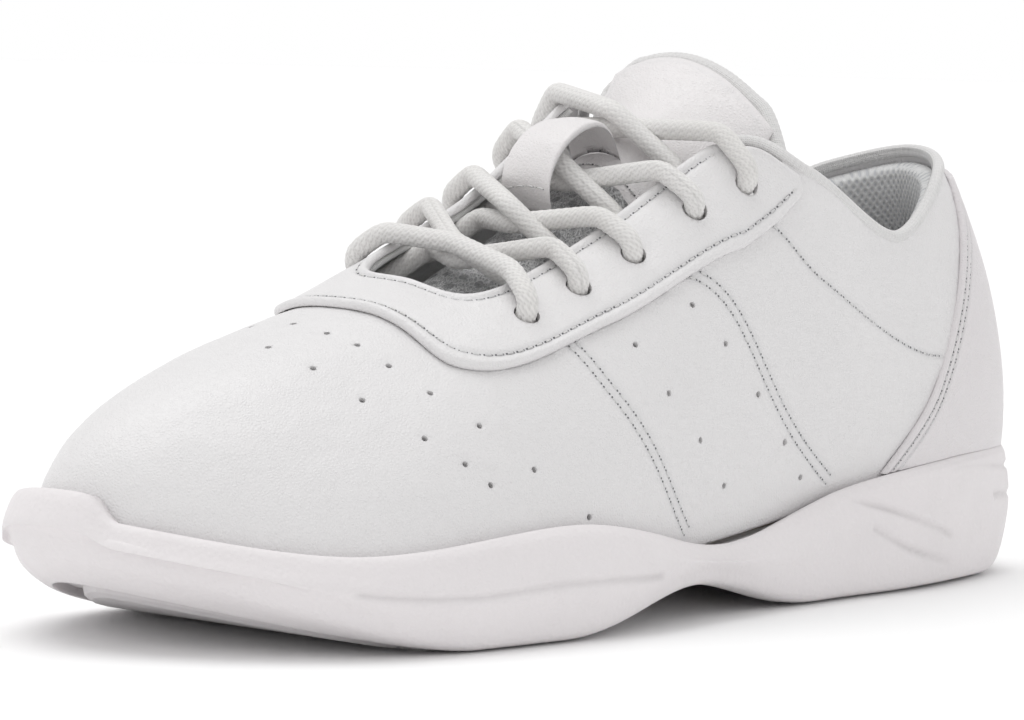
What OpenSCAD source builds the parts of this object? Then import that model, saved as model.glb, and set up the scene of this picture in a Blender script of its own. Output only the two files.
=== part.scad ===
// Low lace-up cheer shoe (left foot): cupped foam sole, one-piece leather upper, U-shaped eyestay,
// padded collar, laced throat and a padded tongue with a lace keeper. Toe towards -Y, outer side +X.

/* [Overall] */
// Length over the sole, heel to toe
shoe_l = 264; // [230:1:304]
// Width over the sole at the ball of the foot
shoe_w = 98; // [86:1:112]
// Height of the collar at the back of the heel
heel_h = 90; // [80:1:104]

/* [Sole] */
// Rise of the sole under the toe tip
toe_spring = 15; // [9:1:18]
// Height of the foot bed under the heel
heel_bed = 18; // [16:1:21]
// Height of the foot bed under the ball
ball_bed = 10; // [9:1:12]
// How far the sole wall stands out from the upper
wall_out = 6; // [5:0.5:7]
// Thickness of the rubber outsole pads
outsole_t = 2.6; // [2:0.2:3.4]

/* [Upper] */
// Thickness of the upper leather
leather_t = 1.3; // [1:0.1:1.6]
// Width of the eyestay beside the throat
eyestay_w = 20; // [17:1:23]
// Thickness of the padding at the collar
collar_pad = 6; // [4:0.5:8]
// Radius of the ribbed binding on the collar edge
binding_r = 1.4; // [1.1:0.1:1.8]

/* [Lacing] */
// Diameter of the round lace
lace_d = 4.2; // [3.4:0.2:4.6]
// Diameter of the punched eyelets
eyelet_d = 5.8; // [5.4:0.1:6.4]
// Thickness of the padded tongue
tongue_t = 5; // [4:0.5:6.5]

/* [Hidden] */

// The drawn sizes that the tables below are written for, and the scale of each direction.
drawn_l = 264;
drawn_w = 98;
drawn_h = 90;
drawn_lace = 4.2;
k_l = shoe_l / drawn_l;
k_w = shoe_w / drawn_w;
k_h = heel_h / drawn_h;

// Ribs of the upper, from the back of the heel round the outer side to the toe and back by the inner
// side. Each row: base s and x (s runs from heel to toe), top line s, x and z, then the two handles of
// the rib: rise and bulge at the base, reach and drop at the top line.
RIBS = [
  [5, 1, 19.5, 2, 91, 30, 3.8, 8, 16],
  [13, 20, 29, 17, 87, 28, 6, 7, 16],
  [44, 30, 56, 27, 74, 20, 6, 1, 16],
  [84, 33, 90, 31, 88, 24, 5, 3, 22],
  [126, 37, 105, 20, 94, 22, 4, 13, 8],
  [174, 43, 142, 15, 74, 18, 5, 15, 5],
  [228, 35, 171, 14, 64, 20, 5, 14, 7],
  [258, -7, 176, 1, 66, 31, 7, 33, 9],
  [234, -36, 174, -11, 69, 25, 5, 17, 9],
  [184, -41, 142, -14, 81, 23, 5, 15, 6],
  [126, -31, 105, -20, 101, 26, 4, 12, 9],
  [84, -28, 90, -30, 94, 28, 4, 3, 22],
  [44, -26, 56, -26, 78, 22, 5, 1, 18],
  [13, -17, 29, -14, 87, 28, 5, 6, 16]
];
LAST_RIB = len(RIBS);
TOE = LAST_RIB / 2;

// Heights of the sole's top edge at the same stations.
RIM = [27, 27.5, 27, 23, 15, 22.5, 19.3, 25.5, 20, 20, 20, 24, 27, 27.5];

// Tongue stations from root to tip: s, x, z, half width, tilt to the outer side, crown.
TONGUE = [
  [190, -1, 54, 10, 1, 3],
  [174, -1, 61, 12, 2, 5],
  [155, -1, 69.5, 16, 2, 8.5],
  [132, 0, 80.3, 18, 3, 11.3],
  [111, 0, 95, 19, 4, 14.5],
  [98, -1, 103.5, 21, 5, 12],
  [90, -2, 109, 22, 5, 9]
];

// ---- small helpers ----
function unit(a) = a / norm(a);
function mix(a, b, f) = a * (1 - f) + b * f;
function clamp01(f) = min(1, max(0, f));
function smooth(f) = let (c = clamp01(f)) c * c * (3 - 2 * c);
function steps(a, b, n) = [for (i = [0:n]) mix(a, b, i / n)];
function flat(list) = [for (row = list) for (p = row) p];
function back(list) = [for (i = [len(list) - 1:-1:0]) list[i]];
function wrap(i, n) = ((i % n) + n) % n;
// Smooth curve through b and c, with a and d as their neighbours.
function cubic(a, b, c, d, f) = b + (c - a) * f / 2 + (2 * a - 5 * b + 4 * c - d) * f * f / 2
  + (3 * b - a - 3 * c + d) * f * f * f / 2;
// A closed table and an open table, read between their rows.
function ring_at(tab, u) = let (n = len(tab), i = floor(u))
  cubic(tab[wrap(i - 1, n)], tab[wrap(i, n)], tab[wrap(i + 1, n)], tab[wrap(i + 2, n)], u - i);
function row_at(tab, p) = let (n = len(tab) - 1, i = min(n - 1, max(0, floor(p))))
  cubic(i == 0 ? 2 * tab[0] - tab[1] : tab[i - 1], tab[i], tab[i + 1],
        i == n - 1 ? 2 * tab[n] - tab[n - 1] : tab[i + 2], p - i);

// ---- heights along the shoe, at s from the back of the heel to the toe ----
floor_cut = 0.5;
heel_bevel = 9;
arch_rise = 7;
function bed_z(s) = mix(heel_bed, ball_bed, smooth((s - 60) / 120))
  + 0.7 * toe_spring * pow(clamp01((s - 205) / 63), 2);
function ground_z(s) = -floor_cut
  + heel_bevel * pow(clamp01((24 - s) / 24), 2)
  + arch_rise * pow(max(0, sin(180 * clamp01((s - 92) / 86))), 2)
  + (toe_spring + 1) * pow(clamp01((s - 202) / 66), 1.5);
function y_at(s) = shoe_l / 2 - s * k_l;
function s_of(p) = (shoe_l / 2 - p[1]) / k_l;

// ---- the upper as one surface: u runs round the shoe, v up each rib from 0 to 1 ----
base_lift = 0.6;
function base_at(u) = let (r = ring_at(RIBS, u)) [r[1] * k_w, y_at(r[0]), bed_z(r[0]) + base_lift];
function top_at(u) = let (r = ring_at(RIBS, u)) [r[3] * k_w, y_at(r[2]), r[4] * k_h];
function out_at(u) = let (d = base_at(u + 0.05) - base_at(u - 0.05)) unit([-d[1], d[0], 0]);
function skin(u, v) = let (
    r = ring_at(RIBS, u), p = base_at(u), t = top_at(u), o = out_at(u), w = 1 - v,
    b = p + o * r[6] + [0, 0, r[5]], c = t + o * r[7] - [0, 0, r[8]])
  p * w * w * w + b * 3 * w * w * v + c * 3 * w * v * v + t * v * v * v;
function skin_n(u, v) = let (
    along = skin(u + 0.02, v) - skin(u - 0.02, v), up = skin(u, v + 0.01) - skin(u, v - 0.01))
  unit(cross(up, along));
function skin_t(u, v, t) = skin(u, v) + t * skin_n(u, v);
// Where on the rib a given distance down from the top line is reached.
function v_down(u, d) = let (r = ring_at(RIBS, u), f = d / (3 * norm([r[7], r[8]])))
  1 - f * (1 - 0.45 * f);
// Where on the rib a given height is reached, by halving.
function v_at_z(u, z, lo = 0, hi = 0.7, n = 9) = let (half = (lo + hi) / 2)
  n == 0 ? half
  : skin(u, half)[2] < z ? v_at_z(u, z, half, hi, n - 1)
  : v_at_z(u, z, lo, half, n - 1);

// ---- meshes ----
// A sheet between two grids of points; closed joins the last row to the first.
module sheet(a, b, closed = false) {
  n = len(a);
  m = len(a[0]);
  rows = closed ? n : n - 1;
  function id(k, i, j) = k * n * m + (i % n) * m + j;
  sides = [for (i = [0:rows - 1]) for (j = [0:m - 2]) each [
    [id(0, i, j), id(0, i + 1, j), id(0, i + 1, j + 1)],
    [id(0, i, j), id(0, i + 1, j + 1), id(0, i, j + 1)],
    [id(1, i, j), id(1, i + 1, j + 1), id(1, i + 1, j)],
    [id(1, i, j), id(1, i, j + 1), id(1, i + 1, j + 1)]]];
  edges = [for (i = [0:rows - 1]) each [
    [id(0, i, 0), id(1, i, 0), id(1, i + 1, 0)],
    [id(0, i, 0), id(1, i + 1, 0), id(0, i + 1, 0)],
    [id(0, i, m - 1), id(1, i + 1, m - 1), id(1, i, m - 1)],
    [id(0, i, m - 1), id(0, i + 1, m - 1), id(1, i + 1, m - 1)]]];
  ends = closed ? [] : [for (j = [0:m - 2]) each [
    [id(0, 0, j), id(0, 0, j + 1), id(1, 0, j + 1)],
    [id(0, 0, j), id(1, 0, j + 1), id(1, 0, j)],
    [id(0, n - 1, j), id(1, n - 1, j + 1), id(0, n - 1, j + 1)],
    [id(0, n - 1, j), id(1, n - 1, j), id(1, n - 1, j + 1)]]];
  polyhedron(points = concat(flat(a), flat(b)), faces = concat(sides, edges, ends));
}

// A body made of closed rings from its lower edge to its upper edge, closed across at both ends.
// The ring's first point and the one half way round lie on its two ends.
module ringed(rings, across = 4) {
  n = len(rings[0]);
  m = len(rings);
  h = n / 2;
  low = m * n;
  high = low + (h - 1) * (across - 1);
  function fill(ring) = [for (i = [1:h - 1]) for (j = [1:across - 1]) mix(ring[i], ring[n - i], j / across)];
  function id(ring, base, i, j) = i == 0 ? ring * n
    : i == h ? ring * n + h
    : j == 0 ? ring * n + i
    : j == across ? ring * n + n - i
    : base + (i - 1) * (across - 1) + j - 1;
  function quad(a, b, c, d, up) = up ? [[a, b, c], [a, c, d]] : [[a, c, b], [a, d, c]];
  function cap(ring, base, up) = [for (i = [0:h - 1]) for (j = [0:across - 1])
    let (pair = quad(id(ring, base, i, j), id(ring, base, i + 1, j),
                     id(ring, base, i + 1, j + 1), id(ring, base, i, j + 1), up))
    each concat(i == h - 1 ? [] : [pair[0]], i == 0 ? [] : [pair[1]])];
  wall_faces = [for (k = [0:m - 2]) for (i = [0:n - 1])
    let (a = k * n + i, b = k * n + (i + 1) % n) each [[a, b, b + n], [a, b + n, a + n]]];
  polyhedron(points = concat(flat(rings), fill(rings[0]), fill(rings[m - 1])),
    faces = concat(wall_faces, cap(0, low, false), cap(m - 1, high, true)));
}

// A round cord along a list of points, with flat ends; its sides are carried along without twist.
function axis_at(path, i) = unit(path[min(len(path) - 1, i + 1)] - path[max(0, i - 1)]);
function square_to(x, axis) = unit(x - (x * axis) * axis);
module tube(path, r, sides = 8) {
  n = len(path);
  last = (n - 1) * sides;
  side_of = [for (i = 0, x = unit(cross(axis_at(path, 0), [0.1, 0.3, 1])); i < n;
    i = i + 1, x = i < n ? square_to(x, axis_at(path, i)) : x) x];
  points = [for (i = [0:n - 1]) let (x = side_of[i], y = cross(axis_at(path, i), x))
    for (k = [0:sides - 1]) path[i] + r * (x * cos(360 * k / sides) + y * sin(360 * k / sides))];
  wall_faces = [for (i = [0:n - 2]) for (k = [0:sides - 1])
    let (a = i * sides + k, b = i * sides + (k + 1) % sides)
    each [[a, b + sides, b], [a, a + sides, b + sides]]];
  ends = [for (k = [1:sides - 2]) each [[0, k, k + 1], [last, last + k + 1, last + k]]];
  polyhedron(points = points, faces = concat(wall_faces, ends));
}

// ---- sole ----
SOLE_N = 70;
fit_gap = 0.5;
bumper_rise = 4.5;
function sole_u(i) = i * LAST_RIB / SOLE_N;
function bumper(u) = bumper_rise * smooth((0.42 - abs(u - TOE - 0.15)) / 0.16);
function rim_z(u) = ring_at(RIM, u) + bumper(u);
function toe_part(u) = smooth((1.5 - abs(u - TOE)) / 1.2);
function heel_part(u) = smooth((2.6 - (TOE - abs(u - TOE))) / 1.8);
function wall(u) = wall_out - 2 * heel_part(u);
function sole_p(u, out) = base_at(u) + out_at(u) * out;
function at_z(p, z) = [p[0], p[1], z];
function on_ground(u, out, up) = let (p = sole_p(u, out)) at_z(p, ground_z(s_of(p)) + up);
function on_bed(u, out, up) = let (p = sole_p(u, out)) at_z(p, bed_z(s_of(p)) + up);
function v_rim(u, down = 0) = v_at_z(u, rim_z(u) - down);
function rim_out(u) = (skin(u, v_rim(u)) - base_at(u)) * out_at(u);
function mid_wall(u) = let (p = on_ground(u, wall(u) + 0.6, outsole_t)) at_z(p, mix(p[2], rim_z(u), 0.5));
function ring(point) = [for (i = [0:SOLE_N - 1]) point(sole_u(i))];

// Underside of the cup: inset from the wall, height over the ground line, extra height at the toe.
// The first two points are the step of the recess that holds the outsole pads.
UNDER = [[9, outsole_t, 0], [8.6, 0.7, 0], [3, 1.2, 3], [0.8, 4, 5]];
// Rolled rim: inset from the wall, least stand-off from the upper, depth below the top.
ROLL = [[0.4, 2.4, 3], [1.6, 1.7, 0.7], [3, 0.9, 0]];
module midsole_cup() ringed(concat(
  [for (r = UNDER) ring(function (u) on_ground(u, wall(u) - r[0], r[1] + r[2] * toe_part(u)))],
  [ring(function (u) mid_wall(u))],
  [for (r = ROLL) ring(function (u)
    at_z(sole_p(u, max(wall(u) - r[0], rim_out(u) + r[1])), rim_z(u) - r[2]))],
  [for (part = [1, 0.5]) ring(function (u) skin_t(u, v_rim(u, 1) * part, fit_gap))],
  [ring(function (u) on_bed(u, fit_gap, 0.4)), ring(function (u) on_bed(u, -1, 0))]));

// Steel shank in its pocket under the arch, sloping with the foot bed.
shank_w = 13;
shank_l = 92;
shank_t = 1.2;
shank_s = 108;
shank_x = 2;
shank_deep = 2.4;
pocket_w = shank_w + 2 * fit_gap;
pocket_l = shank_l + 2 * fit_gap;
pocket_h = 8;
module at_shank() {
  heel_z = bed_z(shank_s - shank_l / 2);
  ball_z = bed_z(shank_s + shank_l / 2);
  translate([shank_x, y_at(shank_s), (heel_z + ball_z) / 2 - shank_deep])
    rotate([atan((heel_z - ball_z) / (shank_l * k_l)), 0, 0]) children();
}
module midsole() color([0.93, 0.92, 0.94]) difference() {
  midsole_cup();
  at_shank() translate([-pocket_w / 2, -pocket_l / 2, -fit_gap]) cube([pocket_w, pocket_l, pocket_h]);
}
module shank() color([0.55, 0.57, 0.6]) at_shank()
  translate([-shank_w / 2, -shank_l / 2, -0.1]) cube([shank_w, shank_l, shank_t]);

// Outsole pads: slabs under the cup, cut flat where they meet the floor, with grooves across.
// Their profile: inset from the wall and height, and how much further in the toe end stays.
PAD = [[11.4, 0], [10, 0.7], [9.6, outsole_t - 0.3]];
pad_toe_inset = 6;
groove_w = 2.4;
groove_up = 1.2;
FRONT_U = [for (i = [25:45]) sole_u(i)];
BACK_U = [for (i = [-15:15]) sole_u(i)];
function pad_edge(us, inset, up) = [for (u = us)
  on_ground(u, wall(u) - inset - pad_toe_inset * toe_part(u), up)];
function front_ring(p) = concat([mix(p[0], p[len(p) - 1], 0.5)], p);
function back_ring(p) = let (n = len(p), h = floor(n / 2))
  concat([for (i = [h:n - 1]) p[i]], [mix(p[0], p[n - 1], 0.5)], [for (i = [0:h - 1]) p[i]]);
module pad(rings, groove_s) difference() {
  ringed(rings);
  translate([-shoe_w, -shoe_l, -10]) cube([2 * shoe_w, 2 * shoe_l, 10]);
  for (s = groove_s) translate([-shoe_w, y_at(s) - groove_w / 2, -1])
    cube([2 * shoe_w, groove_w, 1 + groove_up]);
}
module outsole_forefoot() color([0.9, 0.89, 0.91])
  pad([for (r = PAD) front_ring(pad_edge(FRONT_U, r[0], r[1]))], [for (s = [182:10:212]) s]);
module outsole_heel() color([0.9, 0.89, 0.91])
  pad([for (r = PAD) back_ring(pad_edge(BACK_U, r[0], r[1]))], [for (s = [26:12:74]) s]);

// Board under the foot and the loose foam sock liner above it.
board_z = [0.4, 2.2];
liner_z = [2.6, 6.4];
board_gap = 3.6;
liner_gap = 6;
module layer(inset, z) ringed([for (up = z) ring(function (u) on_bed(u, -inset, up))]);
module insole_board() color([0.8, 0.76, 0.68]) layer(board_gap, board_z);
module sock_liner() color([0.86, 0.86, 0.88]) layer(liner_gap, liner_z);

// ---- upper ----
edge_back = 2.6;
eyelet_down = 9.8;
shell_under = 14;
lining_out = leather_t + 1.6;
function throat(u) = smooth((3.7 - abs(u - TOE)) / 0.5);
function all_u(n) = [for (i = [0:n - 1]) i * LAST_RIB / n];
function depth(t, v) = is_function(t) ? t(v) : t;
function grid(us, n, lo, hi, t) = [for (u = us) [for (v = steps(lo(u), hi(u), n)) skin_t(u, v, depth(t, v))]];
// A layer between two depths, over the ribs us and between the heights lo and hi.
module band(us, n, lo, hi, outer, inner, closed = false)
  sheet(grid(us, n, lo, hi, outer), grid(us, n, lo, hi, inner), closed);

from_base = function (u) 0;
shell_top = function (u) v_down(u, mix(edge_back, shell_under, throat(u)));
module upper_shell() color([0.96, 0.96, 0.96])
  band(all_u(SOLE_N), 10, from_base, shell_top, 0, -leather_t, true);

// U-shaped eyestay: from the throat edge down, running out at both top corners.
EYESTAY_U = steps(TOE - 3.85, TOE + 3.85, 54);
stay_end_w = 4.2;
stay_gap = 0.3;
function stay_full(u) = eyestay_w * (1 - 0.1 * smooth((1.6 - abs(u - TOE)) / 1.2));
function stay_w(u) = mix(stay_end_w, stay_full(u), pow(clamp01((3.85 - abs(u - TOE)) / 0.9), 0.6));
stay_low = function (u) v_down(u, stay_w(u));
stay_high = function (u) v_down(u, mix(edge_back, 0.4, smooth((3.05 - abs(u - TOE)) / 0.2)));
module punched() difference() {
  children();
  for (side = [0:1]) for (k = [1:5])
    at_eyelet(side, k) cylinder(h = 12, d = eyelet_d, center = true, $fn = 24);
}
module eyestay() color([0.97, 0.97, 0.97])
  punched() band(EYESTAY_U, 5, stay_low, stay_high, stay_gap + leather_t, stay_gap);

BACKING_U = steps(TOE - 2.95, TOE + 2.95, 42);
backing_w = 12.6;
backing_t = 1.2;
backing_low = function (u) v_down(u, backing_w);
backing_high = function (u) stay_high(u) - 0.005;
module eyestay_backing() color([0.9, 0.9, 0.88]) punched()
  band(BACKING_U, 3, backing_low, backing_high, 0, -backing_t);

// Eyelet centres, numbered from the toe end; side 0 is the outer side.
function eye_u(side, k) = let (u = 5.6 - 0.4 * (k - 1)) side == 0 ? u : LAST_RIB - u;
function eye_p(side, k) = let (u = eye_u(side, k)) skin(u, v_down(u, eyelet_down));
function eye_n(side, k) = let (u = eye_u(side, k)) skin_n(u, v_down(u, eyelet_down));
module at_eyelet(side, k) {
  n = eye_n(side, k);
  translate(eye_p(side, k)) rotate([0, acos(n[2]), atan2(n[1], n[0])]) children();
}

// Heel overlay outside; stiffener, toe puff and the two stitched saddle bands inside.
overlay_gap = 0.3;
overlay_t = 1.2;
function overlay_grid(t) = let (nu = 24, nv = 10) [for (i = [0:nu]) [for (f = steps(0, 1, nv)) let (
    reach = mix(2.6, 0.8, f), u = mix(-reach, reach, i / nu))
  skin_t(u, mix(v_rim(u, -0.6), 0.93, f), t)]];
module heel_overlay() color([0.96, 0.96, 0.96])
  sheet(overlay_grid(overlay_gap + overlay_t), overlay_grid(overlay_gap));

inner_gap = 0.5;
inner_t = 0.75;
function span_grid(lo_u, hi_u, nu, v0, v1, t) = [for (i = [0:nu]) [for (v = steps(v0, v1, 8))
  skin_t(mix(lo_u(v), hi_u(v), i / nu), v, t)]];
module reinforcement(lo_u, hi_u, nu, v0, v1) sheet(
  span_grid(lo_u, hi_u, nu, v0, v1, -leather_t - inner_gap),
  span_grid(lo_u, hi_u, nu, v0, v1, -leather_t - inner_gap - inner_t));
module heel_stiffener() color([0.75, 0.72, 0.66])
  reinforcement(function (v) -2.2 + 0.5 * v, function (v) 2.2 - 0.5 * v, 26, 0.04, 0.6);
module toe_puff() color([0.8, 0.78, 0.74])
  reinforcement(function (v) TOE - 1.2, function (v) TOE + 1.2, 12, 0.04, 0.4);
function saddle_back(v) = mix(2.9, 4.2, v);
function saddle_front(v) = mix(4.25, 5.2, v);
module saddle_band_outer() color([0.88, 0.88, 0.86])
  reinforcement(function (v) saddle_back(v), function (v) saddle_front(v), 10, 0.1, 0.55);
module saddle_band_inner() color([0.88, 0.88, 0.86])
  reinforcement(
    function (v) LAST_RIB - saddle_front(v), function (v) LAST_RIB - saddle_back(v), 10, 0.1, 0.55);

// Fabric lining of the forepart, and the padded collar: foam, spacer-mesh lining and ribbed binding.
LINING_U = steps(TOE - 3.9, TOE + 3.9, 46);
COLLAR_U = steps(-3.05, 3.05, 36);
lining_t = 0.8;
mesh_t = 1;
foam_gap = 0.3;
lining_low = function (u) 0.03;
lining_high = function (u) v_down(u, 15) - 0.25 * (1 - throat(u));
module upper_lining() color([0.93, 0.93, 0.92])
  band(LINING_U, 6, lining_low, lining_high, -lining_out, -lining_out - lining_t);
function collar_bulge(v) = collar_pad * pow(sin(180 * clamp01((v - 0.5) / 0.52)), 0.8);
module collar_foam() color([0.95, 0.93, 0.8]) band(COLLAR_U, 6,
  function (u) 0.62, function (u) v_down(u, 3.4),
  -leather_t - foam_gap, function (v) -leather_t - 0.9 - collar_bulge(v));
module collar_lining() color([0.85, 0.86, 0.87]) band(COLLAR_U, 10,
  function (u) 0.05, function (u) v_down(u, 2.4),
  function (v) -lining_out - collar_bulge(v), function (v) -lining_out - mesh_t - collar_bulge(v));
module collar_binding() color([0.94, 0.94, 0.94])
  tube([for (u = steps(-4, 4, 50)) skin_t(u, v_down(u, 0.2), -leather_t / 2)], binding_r, 8);

// ---- tongue: p runs from its root to its tip, q across it in millimetres ----
TONGUE_END = len(TONGUE) - 1;
cap_p = 3.4;
// Room for the lace beside the tongue: its edges sink under a thicker lace or a narrower throat.
lace_room = 4.5 * max(0, lace_d - drawn_lace) + 8 * max(0, 1 - k_w);
function tongue_mid(p, q) = let (r = row_at(TONGUE, p), f = q / r[3])
  [(r[1] + q) * k_w, y_at(r[0]), (r[2] - r[4] * f - (r[5] + lace_room) * f * f) * k_h];
function tongue_n(p, q) = let (
    across = tongue_mid(p, q + 0.2) - tongue_mid(p, q - 0.2),
    along = tongue_mid(p + 0.02, q) - tongue_mid(p - 0.02, q))
  unit(cross(across, along));
function tongue_p(p, f, t) = let (q = f * row_at(TONGUE, p)[3]) tongue_mid(p, q) + t * tongue_n(p, q);
function tongue_grid(ps, half, t) = [for (p = ps) [for (f = steps(-half, half, 8)) tongue_p(p, f, t)]];
module tongue_layer(p0, p1, np, half, high, low) {
  ps = steps(p0, p1, np);
  sheet(tongue_grid(ps, half, high), tongue_grid(ps, half, low));
}
module tongue_mesh() color([0.85, 0.86, 0.87])
  tongue_layer(0, cap_p, 12, 1, 0, -1.1);
module tongue_top() color([0.97, 0.97, 0.97])
  tongue_layer(cap_p + 0.03, TONGUE_END - 0.05, 10, 1, 0.3, -1.1);
module tongue_foam() color([0.95, 0.93, 0.8])
  tongue_layer(0.2, TONGUE_END - 0.2, 16, 0.92, -1.4, 1.2 - tongue_t);
module tongue_lining() color([0.9, 0.9, 0.9])
  tongue_layer(0, TONGUE_END - 0.05, 18, 1, 0.9 - tongue_t, -tongue_t);

// Ribbed binding round the tip: up one side, across the top and down the other side.
roll_start = 5.2;
roll_r = 0.4 * tongue_t;
module tongue_binding() color([0.94, 0.94, 0.94]) tube(concat(
  [for (p = steps(roll_start, TONGUE_END, 4)) tongue_p(p, -1.1, -tongue_t / 2)],
  [for (f = steps(-0.85, 0.85, 9)) tongue_p(TONGUE_END + 0.28, f, -tongue_t / 2)],
  [for (p = steps(TONGUE_END, roll_start, 4)) tongue_p(p, 1.1, -tongue_t / 2)]), roll_r, 10);

// Lace keeper: a leather strap that arches along the tongue over one pair of crossings.
keeper_w = 13;
keeper_x = -3;
keeper_t = 1.3;
keeper_rise = 3.1 * lace_d;
KEEPER_P = [2.78, 3.66];
function keeper_p(p, q, rise, up) = let (
    low = tongue_mid(p, q * keeper_w + keeper_x),
    level = tongue_mid(p, 0) + [(q * keeper_w + keeper_x) * k_w, 0, -2 * q * q])
  mix(low, level, up) + (0.6 + rise) * tongue_n(p, 0);
function keeper_grid(t) = [for (f = steps(0, 1, 16))
  let (p = mix(KEEPER_P[0], KEEPER_P[1], f), up = pow(sin(180 * f), 0.25))
  [for (q = steps(-0.5, 0.5, 4)) keeper_p(p, q, keeper_rise * up + t, up)]];
module lace_keeper() color([0.97, 0.97, 0.97]) sheet(keeper_grid(keeper_t), keeper_grid(0));

// ---- lace: a straight bar over the lowest pair, then crossings, each over one side and under the other ----
lace_r = lace_d / 2;
lane_over = stay_gap + leather_t + 0.3 + lace_r;
lane_under = -backing_t - 0.6 - lace_r;
cross_gap = 0.3;
aglet_l = 16;
// A point of the lace near an eyelet: d down from the throat edge, t out of the skin, turned along it.
function lane(side, k, d, t, turn = 0) = let (
    w = eye_u(0, k) + turn, u = side == 0 ? w : LAST_RIB - w)
  skin_t(u, v_down(u, d), t);
function eye_in(side, k) = [
  lane(side, k, 0.8, lane_over + 0.4, 0.075),
  lane(side, k, eyelet_down - 2, lane_over, 0.02),
  lane(side, k, eyelet_down - 0.2, lane_over - 1.5),
  lane(side, k, eyelet_down, 0.2)];
function eye_out(side, k) = [
  lane(side, k, eyelet_down - 0.2, lane_under + 1.6),
  lane(side, k, eyelet_down - 1.6, lane_under, -0.02),
  lane(side, k, -2.5, lane_under + 1.1, -0.12)];
// Where on the tongue a given s is reached, by halving.
function tongue_at_s(s, lo = 0, hi = TONGUE_END, n = 10) = let (half = (lo + hi) / 2)
  n == 0 ? half
  : row_at(TONGUE, half)[0] > s ? tongue_at_s(s, half, hi, n - 1)
  : tongue_at_s(s, lo, half, n - 1);
function eye_s(k) = s_of(mix(eye_p(0, k), eye_p(1, k), 0.5));
function crossing(side, k) = tongue_p(tongue_at_s(mix(eye_s(k), eye_s(k + 1), 0.5)), 0,
  1.4 + max(0, lace_d - drawn_lace) + lace_r + (side == 0 ? lace_d + cross_gap : 0));
function end_u(side, f) = let (u = eye_u(0, 5) + mix(0.1, 1.1, f)) side == 0 ? u : LAST_RIB - u;
function end_p(side, f) = skin_t(end_u(side, f), mix(0.62, 0.42, f), -lining_out - 3.4 - lace_r);
function lace_end(side) = concat(
  [lane(side, 5, eyelet_down + 0.6, lane_under)], [for (f = [0, 0.5, 1]) end_p(side, f)]);
function chain(side) = [for (k = [1:5]) let (a = k % 2 == 1 ? side : 1 - side)
  each concat(eye_in(a, k), k == 5 ? lace_end(a) : concat(eye_out(a, k), [crossing(a, k)]))];
bar_mid = mix(lane(0, 1, 2, lane_over + 0.6), lane(1, 1, 2, lane_over + 0.6), 0.5) + [0, 0, 1.2];
LACE_PATH = concat(back(chain(1)), [bar_mid], chain(0));
module lace() color([0.96, 0.95, 0.92]) tube(LACE_PATH, lace_r, 8);

module aglets() color([0.9, 0.93, 0.95]) for (path = [LACE_PATH, back(LACE_PATH)]) {
  n = len(path) - 1;
  d = unit(path[n] - path[n - 1]);
  tube([path[n] + 0.1 * d, path[n] + aglet_l * d], lace_r - 0.3, 12);
}

outsole_forefoot();
outsole_heel();
midsole();
shank();
insole_board();
sock_liner();
upper_shell();
heel_overlay();
heel_stiffener();
toe_puff();
saddle_band_outer();
saddle_band_inner();
upper_lining();
collar_foam();
collar_lining();
collar_binding();
eyestay();
eyestay_backing();
tongue_mesh();
tongue_lining();
tongue_foam();
tongue_top();
tongue_binding();
lace_keeper();
lace();
aglets();
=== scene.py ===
"""Looks of the cheer shoe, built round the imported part. Lengths here are mm, and metres in Blender."""

import math

import bpy
import numpy as np
from mathutils import Matrix, Vector, noise


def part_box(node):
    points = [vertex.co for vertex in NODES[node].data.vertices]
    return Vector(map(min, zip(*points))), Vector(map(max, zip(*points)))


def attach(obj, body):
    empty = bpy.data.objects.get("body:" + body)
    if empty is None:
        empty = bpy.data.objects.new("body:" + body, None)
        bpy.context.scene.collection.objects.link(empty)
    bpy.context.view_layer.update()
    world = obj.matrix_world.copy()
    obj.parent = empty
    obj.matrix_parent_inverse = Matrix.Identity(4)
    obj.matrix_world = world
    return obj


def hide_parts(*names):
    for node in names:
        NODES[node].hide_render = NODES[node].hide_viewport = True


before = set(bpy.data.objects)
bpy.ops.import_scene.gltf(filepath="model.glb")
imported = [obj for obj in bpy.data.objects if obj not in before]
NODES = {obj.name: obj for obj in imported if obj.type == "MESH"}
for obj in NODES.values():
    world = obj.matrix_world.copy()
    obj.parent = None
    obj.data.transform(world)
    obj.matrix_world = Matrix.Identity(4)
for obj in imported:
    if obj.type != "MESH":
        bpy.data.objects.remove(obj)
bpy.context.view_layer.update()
MM = 0.001

# ---- driving sizes, as in the part; the shoe length is read from the frame ----
SOLE_LOW, SOLE_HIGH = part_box("midsole")
SHOE_L = float(round((SOLE_HIGH[1] - SOLE_LOW[1]) / MM))
HEEL_Y = SHOE_L / 2
LEATHER_T = 1.3
WALL_OUT = 6.0
OUTSOLE_T = 2.6
STAY_W = 20.0
STAY_GAP = 0.3
BACKING_T = 1.2
COLLAR_PAD = 6.0
BINDING_R = 1.4
LACE_D = 4.2
LACE_R = LACE_D / 2
EYELET_R = 2.9
EYELET_DOWN = 9.8
TONGUE_T = 5.0
LINING_OUT = LEATHER_T + 1.6
HEEL_BED, BALL_BED, TOE_SPRING = 18.0, 10.0, 15.0

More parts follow.
